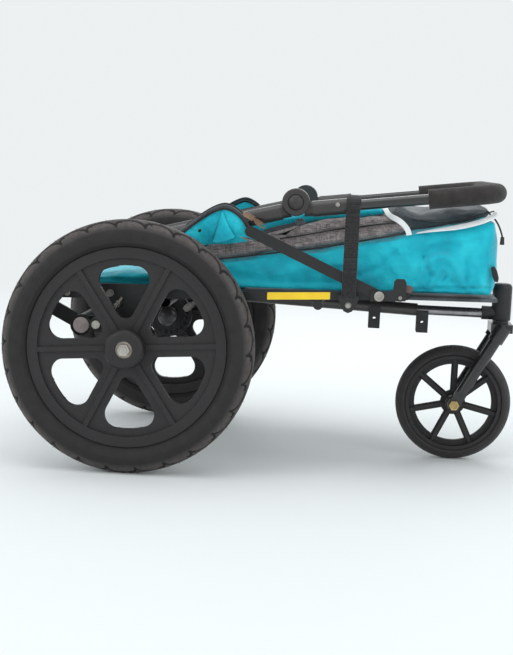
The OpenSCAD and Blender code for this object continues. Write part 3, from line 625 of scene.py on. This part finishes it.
# ---------- handle ----------
# Oval-drawn steel posts and sleeves in satin dark grey, a gloss black grip tube, round
# nylon knuckles with a domed push button, and a closed cell foam sleeve on the grip.
handle_paint = painted("handle_paint", tint(40, 38, 37), tint(52, 50, 48), 0.36,
                       tint(104, 100, 96), coat=0.35)
dress(handle_paint, "handle_posts", "handle_sleeves")
dress(painted("grip_gloss", tint(20, 20, 20), tint(30, 29, 29), 0.16, tint(70, 68, 66),
              coat=0.8, peel_mm=0.1), "grip_tube")
dress(moulded("knuckle_plastic", tint(48, 46, 46), tint(62, 60, 59), 0.42,
              worn=tint(96, 93, 91)), "knuckle_inner", "knuckle_outer",
      "knuckle_button_right", "knuckle_button_left")
foam = new_finish("grip_foam", 0.86, sheen=0.12, specular=0.25)
cells = add_node(foam, "TexVoronoi", Scale=900.0)
join(foam, place_of(foam), cells.inputs["Vector"])
colour_from(foam, grade(foam, mottle(foam, 55, 5), (0.3, tint(48, 46, 45)),
                        (0.7, tint(60, 57, 56))))
rough_from(foam, remap(foam, mottle(foam, 200), 0.78, 0.95))
grain(foam, [(cells.outputs["Distance"], 0.35), (mottle(foam, 60, 3), 0.7)],
      edge_radius=0.002)
dress(foam, "foam_grip")
latch_finish = moulded("latch_plastic", tint(92, 74, 70), tint(112, 92, 86), 0.4,
                       worn=tint(150, 130, 124))
dress(latch_finish, "latch_right", "latch_left")

# ---------- floor board ----------
# A stiff board in dark grey coated cloth under the cabin, its edge bound with piping.


def weave(finish, thread):
    """Over and under threads, from waves along X, Y and Z"""
    parts = add_node(finish, "SeparateXYZ")
    rate = 2 * math.pi / thread
    join(finish, place_of(finish, (rate, rate, rate)), parts.inputs[0])
    wave = [math_node(finish, "SINE", parts.outputs[k], 0.0) for k in range(3)]
    pairs = [math_node(finish, "MULTIPLY", wave[a], wave[b])
             for a, b in ((0, 1), (1, 2), (0, 2))]
    total = math_node(finish, "ADD", pairs[0], pairs[1])
    return math_node(finish, "ADD", total, pairs[2])


def cloth(name, deep, base, bright, rough=0.7, thread=0.0011, sheen=0.35, crumple_mm=1.2):
    """Coated polyester: a fine weave, cloudy dye and soft small crumples"""
    finish = new_finish(name, rough, sheen=sheen, specular=0.3)
    finish.node_tree.nodes["Principled BSDF"].inputs["Sheen Roughness"].default_value = 0.4
    colour_from(finish, grade(finish, mottle(finish, 22, 6), (0.3, deep), (0.5, base),
                              (0.72, bright)))
    rough_from(finish, remap(finish, mottle(finish, 90, 4), rough - 0.1, rough + 0.12))
    grain(finish, [(weave(finish, thread), 0.08), (mottle(finish, 48, 4), crumple_mm),
                   (mottle(finish, 16, 3, (1.0, 1.0, 2.2)), crumple_mm * 1.6)])
    return finish


grey_cloth = cloth("grey_cloth", tint(58, 63, 66), tint(78, 84, 88), tint(96, 102, 106),
                   crumple_mm=0.7)
dark_tape = cloth("dark_binding", tint(30, 31, 32), tint(42, 43, 44), tint(58, 58, 59),
                  rough=0.75, thread=0.0014, crumple_mm=0.3)
board_outline = [(-105, 286), (179, 291.6), (590, 299.6), (590, 306.4), (179, 298.4),
                 (-105, 292.4)]
board = new_piece("floor_board", plate(board_outline, -197.5, 197.5, 2.4, 3), grey_cloth,
                  "chassis")
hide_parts("floor_panel")


def piping(name, points, radius, finish):
    """A round cord sewn along a line of points"""
    curve = bpy.data.curves.new(name + "_line", "CURVE")
    curve.dimensions = "3D"
    curve.bevel_depth = radius
    curve.bevel_resolution = 3
    curve.use_fill_caps = True
    line = curve.splines.new("NURBS")
    line.points.add(len(points) - 1)
    for p, at in zip(line.points, points):
        p.co = (*at, 1)
    line.order_u = 3
    line.use_endpoint_u = True
    line.resolution_u = 6
    shaped = bpy.data.objects.new(name + "_line", curve)
    bpy.context.scene.collection.objects.link(shaped)
    bpy.context.view_layer.update()
    graph = bpy.context.evaluated_depsgraph_get()
    bm = bmesh.new()
    bm.from_mesh(shaped.evaluated_get(graph).to_mesh())
    bpy.data.objects.remove(shaped)
    bmesh.ops.remove_doubles(bm, verts=bm.verts, dist=0.01)
    bmesh.ops.recalc_face_normals(bm, faces=bm.faces)
    return new_piece(name, bm, finish, "chassis")


def board_top(x):
    """The height of the board's upper face at a place along it"""
    return np.interp(x, (-105, 179, 590), (292.4, 298.4, 306.4))


for side, sign in (("right", -1), ("left", 1)):
    piping(f"board_piping_{side}", [(x, sign * 198.6, board_top(x) + 0.4)
                                    for x in range(-104, 592, 29)], 1.9, dark_tape)

# ---------- cabin tub ----------
# The cabin's lower bag of bright coated polyester, pressed flat over the board. Its walls
# keep the creases where the hood's hoops lie, and a seam runs along near the bottom.


def points_of(mesh):
    flat = np.empty(len(mesh.vertices) * 3)
    mesh.vertices.foreach_get("co", flat)
    return flat.reshape(-1, 3)


def normals_of(mesh):
    flat = np.empty(len(mesh.vertices) * 3)
    mesh.vertices.foreach_get("normal", flat)
    return flat.reshape(-1, 3)


def applied(piece):
    """The piece's mesh with its modifiers worked in"""
    bpy.context.view_layer.update()
    graph = bpy.context.evaluated_depsgraph_get()
    mesh = bpy.data.meshes.new_from_object(piece.evaluated_get(graph))
    piece.modifiers.clear()
    piece.data = mesh
    return mesh


def pillow(name, outline, half, cell, cap, finish, pressure=4.0, round_edge=4.0):
    """A stuffed cloth form: outline in x and z, blown up by cloth, no point past cap"""
    bm = plate(outline, -half, half, round_edge, 2)
    piece = new_piece(name, bm, finish, None)
    net = piece.modifiers.new("net", "REMESH")
    net.mode = "VOXEL"
    net.voxel_size = cell / 1000
    net.use_smooth_shade = True
    mesh = applied(piece)
    start = points_of(mesh).copy()
    cloth_step = piece.modifiers.new("cloth", "CLOTH")
    cloth_step.settings.quality = 4
    cloth_step.settings.use_pressure = True
    cloth_step.settings.uniform_pressure_force = pressure
    cloth_step.settings.effector_weights.gravity = 0
    cloth_step.settings.tension_stiffness = 12
    cloth_step.settings.compression_stiffness = 12
    cloth_step.settings.bending_stiffness = 0.6
    cloth_step.point_cache.frame_start = 1
    cloth_step.point_cache.frame_end = 20
    for frame_number in range(1, 21):
        bpy.context.scene.frame_set(frame_number)
    mesh = applied(piece)
    bpy.context.scene.frame_set(1)
    moved = points_of(mesh) - start
    length = np.linalg.norm(moved, axis=1, keepdims=True)
    limit = cap / 1000
    moved *= np.minimum(1.0, limit / np.maximum(length, 1e-9))
    mesh.vertices.foreach_set("co", (start + moved).ravel())
    mesh.update()
    finer = piece.modifiers.new("finer", "SUBSURF")
    finer.levels = finer.render_levels = 1
    mesh = applied(piece)
    for face in mesh.polygons:
        face.use_smooth = True
    if not mesh.materials:
        mesh.materials.append(finish)
    return piece


def in_mm(points):
    return (points - np.array([axle_x, 0, 0])) * 1000


def crease(points, line, width):
    """How near each point is to a line in side view, from 0 to 1"""
    flat = points[:, [0, 2]]
    best = np.full(len(flat), 1e9)
    for a, b in zip(line, line[1:]):
        a, b = np.array(a, float), np.array(b, float)
        along = np.clip(((flat - a) @ (b - a)) / ((b - a) @ (b - a)), 0, 1)
        best = np.minimum(best, np.linalg.norm(flat - a - along[:, None] * (b - a), axis=1))
    return np.exp(-(best / width) ** 2)


def waves(points, *terms):
    """A sum of slow sine folds: each (height, x rate, y rate, z rate, start)"""
    total = np.zeros(len(points))
    for height, rx, ry, rz, start in terms:
        total += height * np.sin(points[:, 0] * rx + points[:, 1] * ry
                                 + points[:, 2] * rz + start)
    return total


def push(piece, change):
    """Moves a cloth's points; change takes millimetre points and normals"""
    mesh = piece.data
    points, normals = in_mm(points_of(mesh)), normals_of(mesh)
    points = points + change(points, normals)
    mesh.vertices.foreach_set("co", (points / 1000 + np.array([axle_x, 0, 0])).ravel())
    mesh.update()


cyan_cloth = cloth("cyan_cloth", tint(2, 158, 182), tint(12, 184, 206), tint(38, 204, 222),
                   rough=0.5, sheen=0.4, crumple_mm=2.2)
tub_outline = [(-98, 296), (179, 301), (584, 309), (583, 404), (580, 437), (466, 407),
               (310, 372), (145, 345), (-98, 302)]
tub = pillow("cabin_tub_cloth", tub_outline, 193.5, 6.0, 5.0, cyan_cloth)

RIDGES = [
    (4.2, 6.5, [(450, 312), (459, 338), (470, 356), (486, 369), (501, 371), (514, 362),
                (523, 343), (533, 326)]),
    (-4.2, 4.2, [(468, 366), (472, 352), (482, 340)]),
    (3.2, 4.5, [(478, 318), (487, 338), (497, 352), (505, 349), (511, 334)]),
    (-2.6, 3.4, [(500, 332), (507, 340), (516, 330)]),
    (3.0, 6.0, [(541, 322), (546, 345), (551, 357), (557, 345), (563, 322)]),
    (-3.0, 6.0, [(534, 318), (540, 340), (536, 365)]),
    (2.6, 9.0, [(470, 386), (495, 397), (525, 400), (560, 410)]),
    (-2.2, 7.0, [(455, 330), (462, 360), (480, 385), (520, 388)]),
    (-2.4, 2.2, [(440, 313), (500, 318), (582, 323)]),
    (2.4, 5.0, [(566, 330), (572, 380), (578, 425)]),
    (1.8, 8.0, [(230, 330), (300, 345), (350, 352)]),
    (-2.0, 9.0, [(150, 322), (240, 312), (330, 318)]),
    (-2.0, 6.0, [(360, 330), (395, 345), (420, 372)]),
    (2.0, 8.0, [(-80, 318), (0, 312), (70, 322)]),
    (-2.4, 5.0, [(-70, 304), (0, 303), (80, 308)]),
]


def tub_folds(points, normals):
    out = np.zeros_like(points)
    wall = np.clip((np.abs(normals[:, 1]) - 0.5) * 2.5, 0, 1)
    relief = sum(1.9 * h * crease(points, line, w) for h, w, line in RIDGES)
    relief += waves(points, (0.8, 0.045, 0, 0.07, 0.4), (0.5, 0.09, 0, -0.12, 1.3),
                    (0.35, 0.21, 0, 0.16, 2.0))
    relief *= np.clip((points[:, 2] - board_top(points[:, 0]) - 5) / 10, 0.35, 1)
    far = points[:, 1] > 0
    relief = np.where(far, relief * 0.8 + waves(points, (0.6, 0.06, 0, 0.1, 2.2)), relief)
    out[:, 1] = np.sign(points[:, 1]) * wall * relief
    front = np.clip((normals[:, 0] - 0.5) * 2.5, 0, 1)
    out[:, 0] = front * waves(points, (1.6, 0, 0.055, 0.03, 0.5), (1.0, 0, 0.13, 0.07, 1.0))
    top = np.clip((normals[:, 2] - 0.5) * 2.5, 0, 1)
    out[:, 2] = top * waves(points, (1.8, 0.05, 0.02, 0, 0.3), (1.2, 0.025, 0.06, 0, 1.2),
                            (0.7, 0.11, -0.05, 0, 0.7))
    return out


push(tub, tub_folds)
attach(tub, "chassis")
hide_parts("cabin_tub")


def stitches(name, points, finish, body="chassis", length=3.6):
    """Short threads lying one behind another along a line"""
    bm = bmesh.new()
    pitch = length * 1.45
    for a, b in zip(points, points[1:]):
        a, b = Vector(a), Vector(b)
        for k in range(max(1, int((b - a).length / pitch))):
            at = a.lerp(b, (k + 0.5) * pitch / (b - a).length)
            lay = (b - a).to_track_quat("X", "Z").to_matrix().to_4x4()
            bmesh.ops.create_icosphere(bm, subdivisions=1, radius=1.0, matrix=(
                Matrix.Translation(at) @ lay @ Matrix.Diagonal((length / 2, 0.42, 0.42, 1))))
    return new_piece(name, bm, finish, body)


dark_thread = new_finish("dark_thread", 0.6, sheen=0.3)
colour_from(dark_thread, grade(dark_thread, mottle(dark_thread, 300),
                               (0.3, tint(18, 18, 18)), (0.7, tint(36, 36, 36))))
grain(dark_thread, [(mottle(dark_thread, 1500), 0.1)])
for side, sign in (("right", -1), ("left", 1)):
    hem = [(x, sign * (196.8 if x < 560 else 195.6), board_top(x) + 3.0)
           for x in range(179, 583, 25)]
    piping(f"tub_hem_{side}", hem, 2.6, grey_cloth)

# ---------- folded hood ----------
# The melange hood lies on the tub in two rolls with a dark seam tape between, and the
# cyan roof of the hood is folded on top of them.
melange = new_finish("melange_cloth", 0.8, sheen=0.3, specular=0.25)
threads = [mottle(melange, 1.0, 3, stretch) for stretch in (
    (60, 300, 900), (900, 300, 60), (200, 900, 200))]
mixed = math_node(melange, "ADD", math_node(melange, "MULTIPLY", threads[0], 0.5),
                  math_node(melange, "MULTIPLY", threads[1], 0.3))
mixed = math_node(melange, "ADD", mixed, math_node(melange, "MULTIPLY", threads[2], 0.2))
colour_from(melange, grade(melange, mixed, (0.38, tint(96, 90, 92)), (0.5, tint(146, 136, 136)),
                           (0.62, tint(190, 180, 178))))
rough_from(melange, remap(melange, mottle(melange, 90), 0.7, 0.9))
grain(melange, [(weave(melange, 0.0016), 0.18), (mixed, 0.5), (mottle(melange, 40, 4), 1.5)])

roll_outline = [(94, 343), (145, 351.5), (310, 378.5), (440, 407), (443, 412), (429, 421),
                (328, 405), (264, 391), (200, 382), (150, 379), (106, 364)]
roll = pillow("hood_roll_lower", roll_outline, 185, 5.0, 5.0, melange,
              pressure=5.0)
flap_outline = [(236, 387), (264, 393), (328, 407.5), (429, 423.5), (427, 427), (392, 426),
                (328, 420), (280, 411), (250, 400)]
flap = pillow("hood_roll_upper", flap_outline, 184, 4.0, 3.2, melange,
              pressure=5.0, round_edge=2.5)


def roll_folds(points, normals):
    out = np.zeros_like(points)
    side = np.clip((np.abs(normals[:, 1]) - 0.3) * 1.5, 0, 1)
    pucker = waves(points, (1.0, 0.21, 0, 0.05, 0.3), (0.7, 0.37, 0, -0.1, 1.4),
                   (0.5, 0.6, 0, 0.2, 0.9))
    out[:, 1] = np.sign(points[:, 1]) * side * pucker
    out[:, 2] = (1 - side) * waves(points, (1.4, 0.06, 0.03, 0, 0.4),
                                   (0.9, 0.02, 0.09, 0, 1.7), (0.6, 0.17, 0.04, 0, 0.2))
    return out


for piece in (roll, flap):
    push(piece, roll_folds)
    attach(piece, "chassis")
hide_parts("hood_roll")
roof_outline = [(66, 362), (104, 369), (150, 385), (200, 390), (264, 413), (328, 422),
                (396, 429), (408, 431), (398, 441), (300, 435), (200, 422), (120, 398)]
roof = pillow("hood_roof", roof_outline, 164, 5.0, 4.0, cyan_cloth,
              pressure=4.5)


def roof_folds(points, normals):
    out = np.zeros_like(points)
    up = np.clip(normals[:, 2] * 2, 0, 1)
    out[:, 2] = up * waves(points, (2.2, 0.05, 0.012, 0, 0.4), (1.4, 0.02, 0.05, 0, 1.7),
                           (0.9, 0.12, 0.03, 0, 0.2))
    out[:, 1] = (1 - up) * np.sign(points[:, 1]) * waves(
        points, (1.0, 0.12, 0, 0.05, 0.3), (0.8, 0.05, 0, 0.2, 1.0))
    return out


push(roof, roof_folds)
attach(roof, "chassis")
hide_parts("hood_layer")
for side, sign in (("right", -1), ("left", 1)):
    piping(f"roll_piping_{side}", [(x, sign * 191.0, z) for x, z in (
        (96, 342), (145, 349.5), (200, 358.5), (255, 367.5), (310, 376.5), (375, 391),
        (440, 405.5))], 1.5, dark_tape)
    piping(f"layer_piping_{side}", [(x, sign * 187.0, z) for x, z in (
        (232, 386), (264, 392), (296, 399), (328, 406.3), (380, 415), (430, 422.6))],
        1.3, dark_tape)

# ---------- reflective piping ----------
# A flat silver-white reflective tape sewn over the hood's front edge, from the tub on one
# side up and across to the other.
reflective = new_finish("reflective_tape", 0.45, sheen=0.2, coat=0.2)
colour_from(reflective, grade(reflective, mottle(reflective, 80, 4),
                              (0.3, tint(224, 230, 232)), (0.7, tint(246, 248, 249))))
grain(reflective, [(weave(reflective, 0.0009), 0.06), (mottle(reflective, 60), 0.4)])


def tape(name, path, across, width, thick, finish, body):
    """A flat tape along a path; across gives the width's direction at each point"""
    bm = bmesh.new()
    last = None
    for at, over in zip(path, across):
        at, over = Vector(at), Vector(over).normalized() * width / 2
        if last is None:
            ends = [bm.verts.new(at - over), bm.verts.new(at + over)]
            last = bm.edges.new(ends)
            continue
        grown = bmesh.ops.extrude_edge_only(bm, edges=[last])
        fresh = [g for g in grown["geom"] if isinstance(g, bmesh.types.BMVert)]
        pair = {v: min(ends, key=lambda e: (e.co - v.co).length) for v in fresh}
        ends = [next(v for v in fresh if pair[v] == e) for e in ends]
        ends[0].co, ends[1].co = at - over, at + over
        last = next(g for g in grown["geom"] if isinstance(g, bmesh.types.BMEdge)
                    and ends[0] in g.verts and ends[1] in g.verts)
    piece = new_piece(name, bm, finish, body)
    wall = piece.modifiers.new("wall", "SOLIDIFY")
    wall.thickness = thick / 1000
    wall.offset = 0
    soft = piece.modifiers.new("edge", "BEVEL")
    soft.width = thick / 1000 * 0.35
    soft.segments = 2
    soft.limit_method = "ANGLE"
    return piece


def smooth_path(points, count):
    """Points spread along a smooth line through the given ones"""
    points = [Vector(p) for p in points]
    padded = [points[0] * 2 - points[1]] + points + [points[-1] * 2 - points[-2]]
    dense = []
    for a, b, c, d in zip(padded, padded[1:], padded[2:], padded[3:]):
        for k in range(12):
            t = k / 12
            dense.append(0.5 * ((2 * b) + (c - a) * t + (2 * a - 5 * b + 4 * c - d) * t * t
                                + (3 * b - a - 3 * c + d) * t ** 3))
    dense.append(points[-1])
    lengths = [0.0]
    for a, b in zip(dense, dense[1:]):
        lengths.append(lengths[-1] + (b - a).length)
    out = []
    for k in range(count):
        want = lengths[-1] * k / (count - 1)
        j = max(i for i, value in enumerate(lengths) if value <= want + 1e-9)
        j = min(j, len(dense) - 2)
        share = (want - lengths[j]) / max(lengths[j + 1] - lengths[j], 1e-9)
        out.append(dense[j].lerp(dense[j + 1], min(1.0, share)))
    return out


side_run = [(441.5, 192.3, 402), (439.5, 192.6, 409), (434, 192.2, 416.5),
            (426, 190.5, 423.5), (416, 186, 428.5), (409, 179, 432), (404, 168, 437.5),
            (401, 150, 443)]
over_run = [(400, y, 444.5 + 1.0 * math.cos(y / 25)) for y in (110, 60, 0, -60, -110)]
right_run = [(x, -y, z) for x, y, z in reversed(side_run)]
band = smooth_path(side_run + over_run + right_run, 90)
tape_across = []
for k, at in enumerate(band):
    along = band[min(k + 1, 89)] - band[max(k - 1, 0)]
    share = min(1.0, max(0.0, (abs(at.y) - 150) / 40))
    out = Vector((0, math.copysign(1, at.y) * share, 1.02 - share)).normalized()
    tape_across.append(along.cross(out))
tape("reflective_band", band, tape_across, 9.0, 1.2, reflective, "chassis")

# ---------- front fold ----------
# The hood's dark grey front panel, doubled over at the nose of the tub, with seams along
# its sides and a white wedge of lining where it meets the tub.
fold_outline = [(410, 400), (466, 414), (520, 427), (578, 442), (580, 447), (560, 451),
                (527, 446), (494, 439), (461, 433), (425, 440), (408, 440)]
fold = pillow("front_fold_cloth", fold_outline, 170, 5.0, 5.0, grey_cloth,
              pressure=4.0)


def fold_folds(points, normals):
    out = np.zeros_like(points)
    up = np.clip(normals[:, 2] * 2, 0, 1)
    out[:, 2] = up * (waves(points, (2.4, 0.07, 0.016, 0, 0.4), (1.6, 0.03, 0.045, 0, 1.7),
                            (1.0, 0.14, 0.05, 0, 0.2)))
    out[:, 1] = (1 - up) * np.sign(points[:, 1]) * (
        waves(points, (1.2, 0.09, 0, 0.05, 0.3), (0.8, 0.05, 0, 0.3, 1.0))
        + 3.0 * crease(points, [(430, 432), (480, 428), (530, 440), (570, 447)], 5.0)
        - 2.4 * crease(points, [(430, 420), (480, 418), (540, 432)], 3.0))
    return out


push(fold, fold_folds)
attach(fold, "chassis")
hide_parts("front_fold")


def lofted(rows):
    """A sheet through rows of points, all rows with the same number of points"""
    bm = bmesh.new()
    before = None
    for row in rows:
        verts = [bm.verts.new(p) for p in row]
        edges = [bm.edges.new(pair) for pair in zip(verts, verts[1:])]
        if before:
            bmesh.ops.bridge_loops(bm, edges=before + edges)
        before = edges
    bmesh.ops.recalc_face_normals(bm, faces=bm.faces)
    return bm


def skin(piece, thick):
    """Gives a sheet its thickness and rounds it once"""
    wall = piece.modifiers.new("wall", "SOLIDIFY")
    wall.thickness = thick / 1000
    wall.offset = 0
    finer = piece.modifiers.new("finer", "SUBSURF")
    finer.levels = finer.render_levels = 1
    return piece


def area_of(piece):
    """The sheet's flat area in square metres, as it was cut"""
    return sum(face.area for face in piece.data.polygons)


for side, sign in (("right", -1), ("left", 1)):
    low = smooth_path([(452, 0, 404.5), (480, 0, 408.5), (520, 0, 414), (556, 0, 424),
                       (582, 0, 436)], 24)
    high = smooth_path([(454, 0, 405.5), (480, 0, 412), (520, 0, 421.5), (556, 0, 432),
                        (581, 0, 446)], 24)
    rows = []
    for share in (0.0, 0.33, 0.66, 1.0):
        rows.append([(a.lerp(b, share).x, sign * (199.6 - 16 * share ** 2
                                                  - 6 * max(0, (a.x - 560) / 22)),
                      a.lerp(b, share).z + 1.2) for a, b in zip(low, high)])
    lining = skin(new_piece(f"white_lining_{side}", lofted(rows), reflective, "chassis"), 1.4)
    cut = area_of(lining)
    piping(f"fold_seam_{side}", [(x, sign * (176 - max(0, x - 555) * 0.3), z) for x, z in (
        (446, 427), (470, 424), (500, 425), (530, 432), (556, 441), (578, 446.5))],
        1.2, dark_tape)
    stitches(f"fold_stitches_{side}", smooth_path([(x, sign * 178.5, z) for x, z in (
        (452, 421), (480, 418), (510, 422), (540, 431), (566, 440))], 40), dark_thread)

# ---------- gussets and zip ----------
# On each side a cyan corner of the hood is folded up beside the handle post like a small
# tent. Its upper edge is bound with layers of dark tape, where the zip runs.
TENT_TOP = [(66, 384), (76, 391.5), (90, 403), (108, 417), (124, 427), (140, 433),
            (152, 430), (164, 423), (174, 413), (181, 400), (186, 389)]
TENT_FOOT = [(64, 378), (76, 374), (92, 371), (108, 370), (122, 371.5), (136, 372.5),
             (150, 374), (162, 376), (174, 378), (186, 380), (196, 382)]
for side, sign in (("right", -1), ("left", 1)):
    top = smooth_path([(x, 0, z) for x, z in TENT_TOP], 41)
    foot = smooth_path([(x, 0, z) for x, z in TENT_FOOT], 41)
    rows = []
    for row in range(13):
        share = row / 12
        line = []
        for a, b in zip(foot, top):
            at = a.lerp(b, share)
            belly = math.sin(math.pi * min(1.0, share * 1.05)) * 3.5
            pleat = 1.7 * math.sin(at.x * 0.16 + share * 2.2) * (1 - share) * share * 4
            pleat += 0.9 * math.sin(at.x * 0.37 - share * 3) * (1 - share)
            depth = 198.5 + 10.5 * share ** 0.7 + belly + pleat
            line.append((at.x, sign * min(depth, 214.8), at.z))
        rows.append(line)
    gusset = skin(new_piece(f"gusset_{side}", lofted(rows), cyan_cloth, "chassis"), 1.0)
    if side == "right":
        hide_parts("side_gussets")
    ear_top = smooth_path([(137, 0, 426), (139.5, 0, 424), (143, 0, 417), (150, 0, 403),
                           (161, 0, 386)], 15)
    ear_foot = smooth_path([(136, 0, 425), (133, 0, 412), (129, 0, 396), (126, 0, 384),
                            (123, 0, 375)], 15)
    rows = []
    for row in range(7):
        share = row / 6
        line = []
        for k, (a, b) in enumerate(zip(ear_foot, ear_top)):
            at = a.lerp(b, share)
            low_end = k / 14
            depth = 211.5 + 2.6 * math.sin(math.pi * share) + 1.2 * math.sin(
                share * 9) * low_end
            line.append((at.x, sign * min(depth, 215.4), at.z - 3 * low_end * math.sin(
                math.pi * share)))
        rows.append(line)
    ear = skin(new_piece(f"gusset_fold_{side}", lofted(rows), cyan_cloth, "chassis"), 1.0)
    for layer, (shift, radius, depth) in enumerate(((0.0, 2.6, 210.5), (4.0, 2.3, 206.0),
                                                    (7.0, 2.0, 201.0))):
        piping(f"gusset_binding_{side}_{layer + 1}",
               [(x, sign * depth, z + shift) for x, z in TENT_TOP], radius,
               dark_tape if layer != 1 else grey_cloth)
    piping(f"gusset_roll_{side}", [(x, sign * 203.0, z) for x, z in (
        (161, 389), (172, 387), (184, 382), (196, 378.5), (206, 375))], 2.8, melange)
zip_metal = plated("bronze_zip", tint(104, 84, 70), tint(156, 132, 114), 0.32)
dress(zip_metal, "zip_slider", "zip_pull")

# ---------- strut strap ----------
# A black webbing loop round the handle post, sewn back on itself, that ends in a plastic
# ring hooked on the strut's stud. It is ribbed along.
webbing = new_finish("black_webbing", 0.78, sheen=0.3, specular=0.3)
colour_from(webbing, grade(webbing, mottle(webbing, 300, 4), (0.3, tint(20, 20, 21)),
                           (0.7, tint(46, 45, 46))))
rough_from(webbing, remap(webbing, mottle(webbing, 120), 0.68, 0.88))
grain(webbing, [(weave(webbing, 0.0021), 0.35), (mottle(webbing, 90), 0.4)])
RING_Y, POST_Y, LOOP_Z, LOOP_R = -231.6, -195.0, 445.7, 16.6
turns = [math.radians(a) for a in range(-4, 353, 7)]
loop = [Vector((349, POST_Y - LOOP_R * math.cos(a), LOOP_Z + LOOP_R * math.sin(a)))
        for a in turns]
across = [Vector((1, 0, 0))] * len(loop)
tape("strap_loop", loop, across, 23.0, 1.8, webbing, "strap")
fall = smooth_path([(349, -212.6, 446), (349, -214, 430), (349, -218.5, 400),
                    (349, -225.5, 370), (349, -230.4, 345), (349, RING_Y, 325),
                    (349, RING_Y, 298)], 36)
strap_fall = tape("strap_fall", fall, [(1, 0, 0)] * 36, 23.0, 1.8, webbing, "strap")
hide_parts("strap_web")
doubled = [p + Vector((0, -1.9, 0)) for p in fall[20:]]
tape("strap_doubled", doubled, [(1, 0, 0)] * len(doubled), 22.0, 1.6, webbing, "strap")
for row, x in enumerate((340, 358)):
    stitches(f"strap_stitches_{row + 1}", [p + Vector((x - 349, -1.2, 0))
             for p in fall[21:]], dark_thread, "strap", 3.0)

# ---------- drawcord, clip and loops ----------
# A round drawcord with a toggle hangs from the hood's front edge, a sprung plastic clip
# holds the tub's front corner, and the folded edges show loops, a knot and soft tabs.
black_clip = moulded("black_clip", tint(22, 22, 23), tint(36, 36, 37), 0.4,
                     worn=tint(60, 60, 60))
for side, sign in (("right", -1), ("left", 1)):
    cord = smooth_path([(566, sign * 172, 446), (571, sign * 178, 441.5),
                        (578.5, sign * 184, 434), (585, sign * 187, 424),
                        (590, sign * 188, 412), (592, sign * 188, 404)], 24)
    bm = bmesh.new()
    bmesh.ops.create_cone(bm, cap_ends=True, segments=24, radius1=3.8, radius2=3.0, depth=13,
                          matrix=Matrix.Translation((592, sign * 188, 400)))
    bmesh.ops.bevel(bm, geom=[e for e in bm.edges if e.calc_face_angle() > 1], offset=1.1,
                    segments=3, profile=0.5, affect="EDGES", material=-1)
    toggle = new_piece(f"cord_toggle_{side}", bm, black_clip, "chassis")
    drawcord = piping(f"drawcord_{side}", cord, 1.5, dark_tape)
    bm = plate([(576, 357), (581, 359), (586, 352), (589.5, 340), (588.5, 333), (583, 334),
                (579, 343)], sign * 196 - 3.5, sign * 196 + 3.5, 1.2, 3)
    new_piece(f"front_clip_{side}", bm, black_clip, "chassis")
    bm = bmesh.new()
    bmesh.ops.create_icosphere(bm, subdivisions=4, radius=1.0, matrix=Matrix.Translation(
        (264, sign * 192, 415)) @ Matrix.Diagonal((8.5, 5.0, 6.0, 1)))
    for v in bm.verts:
        at = v.co - Vector((264, sign * 192, 415))
        twist = math.sin(at.x * 1.1 + at.z * 0.9) * 0.7 + math.sin(at.z * 1.6 - at.x) * 0.4
        v.co += at.normalized() * twist
    new_piece(f"cloth_knot_{side}", bm, grey_cloth, "chassis")
    for number, low, high in ((1, [(196, 391), (222, 396), (246, 403), (264, 410)],
                               [(199, 397), (222, 405), (246, 411), (262, 416)]),
                              (2, [(200, 385), (222, 391), (244, 399), (262, 408)],
                               [(197, 390), (221, 397), (244, 404), (262, 410)])):
        base = smooth_path([(x, 0, z) for x, z in low], 20)
        edge = smooth_path([(x, 0, z) for x, z in high], 20)
        rows = []
        for row in range(6):
            share = row / 5
            rows.append([(a.lerp(b, share).x,
                          sign * (188 + 2.6 * math.sin(math.pi * share) * math.sin(
                              math.pi * k / 19) + 2.0 * number - 3),
                          a.lerp(b, share).z) for k, (a, b) in enumerate(zip(base, edge))])
        leaf = skin(new_piece(f"side_flap_{number}_{side}", lofted(rows),
                              grey_cloth if number == 1 else melange, "chassis"), 1.2)

(low, high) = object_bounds()
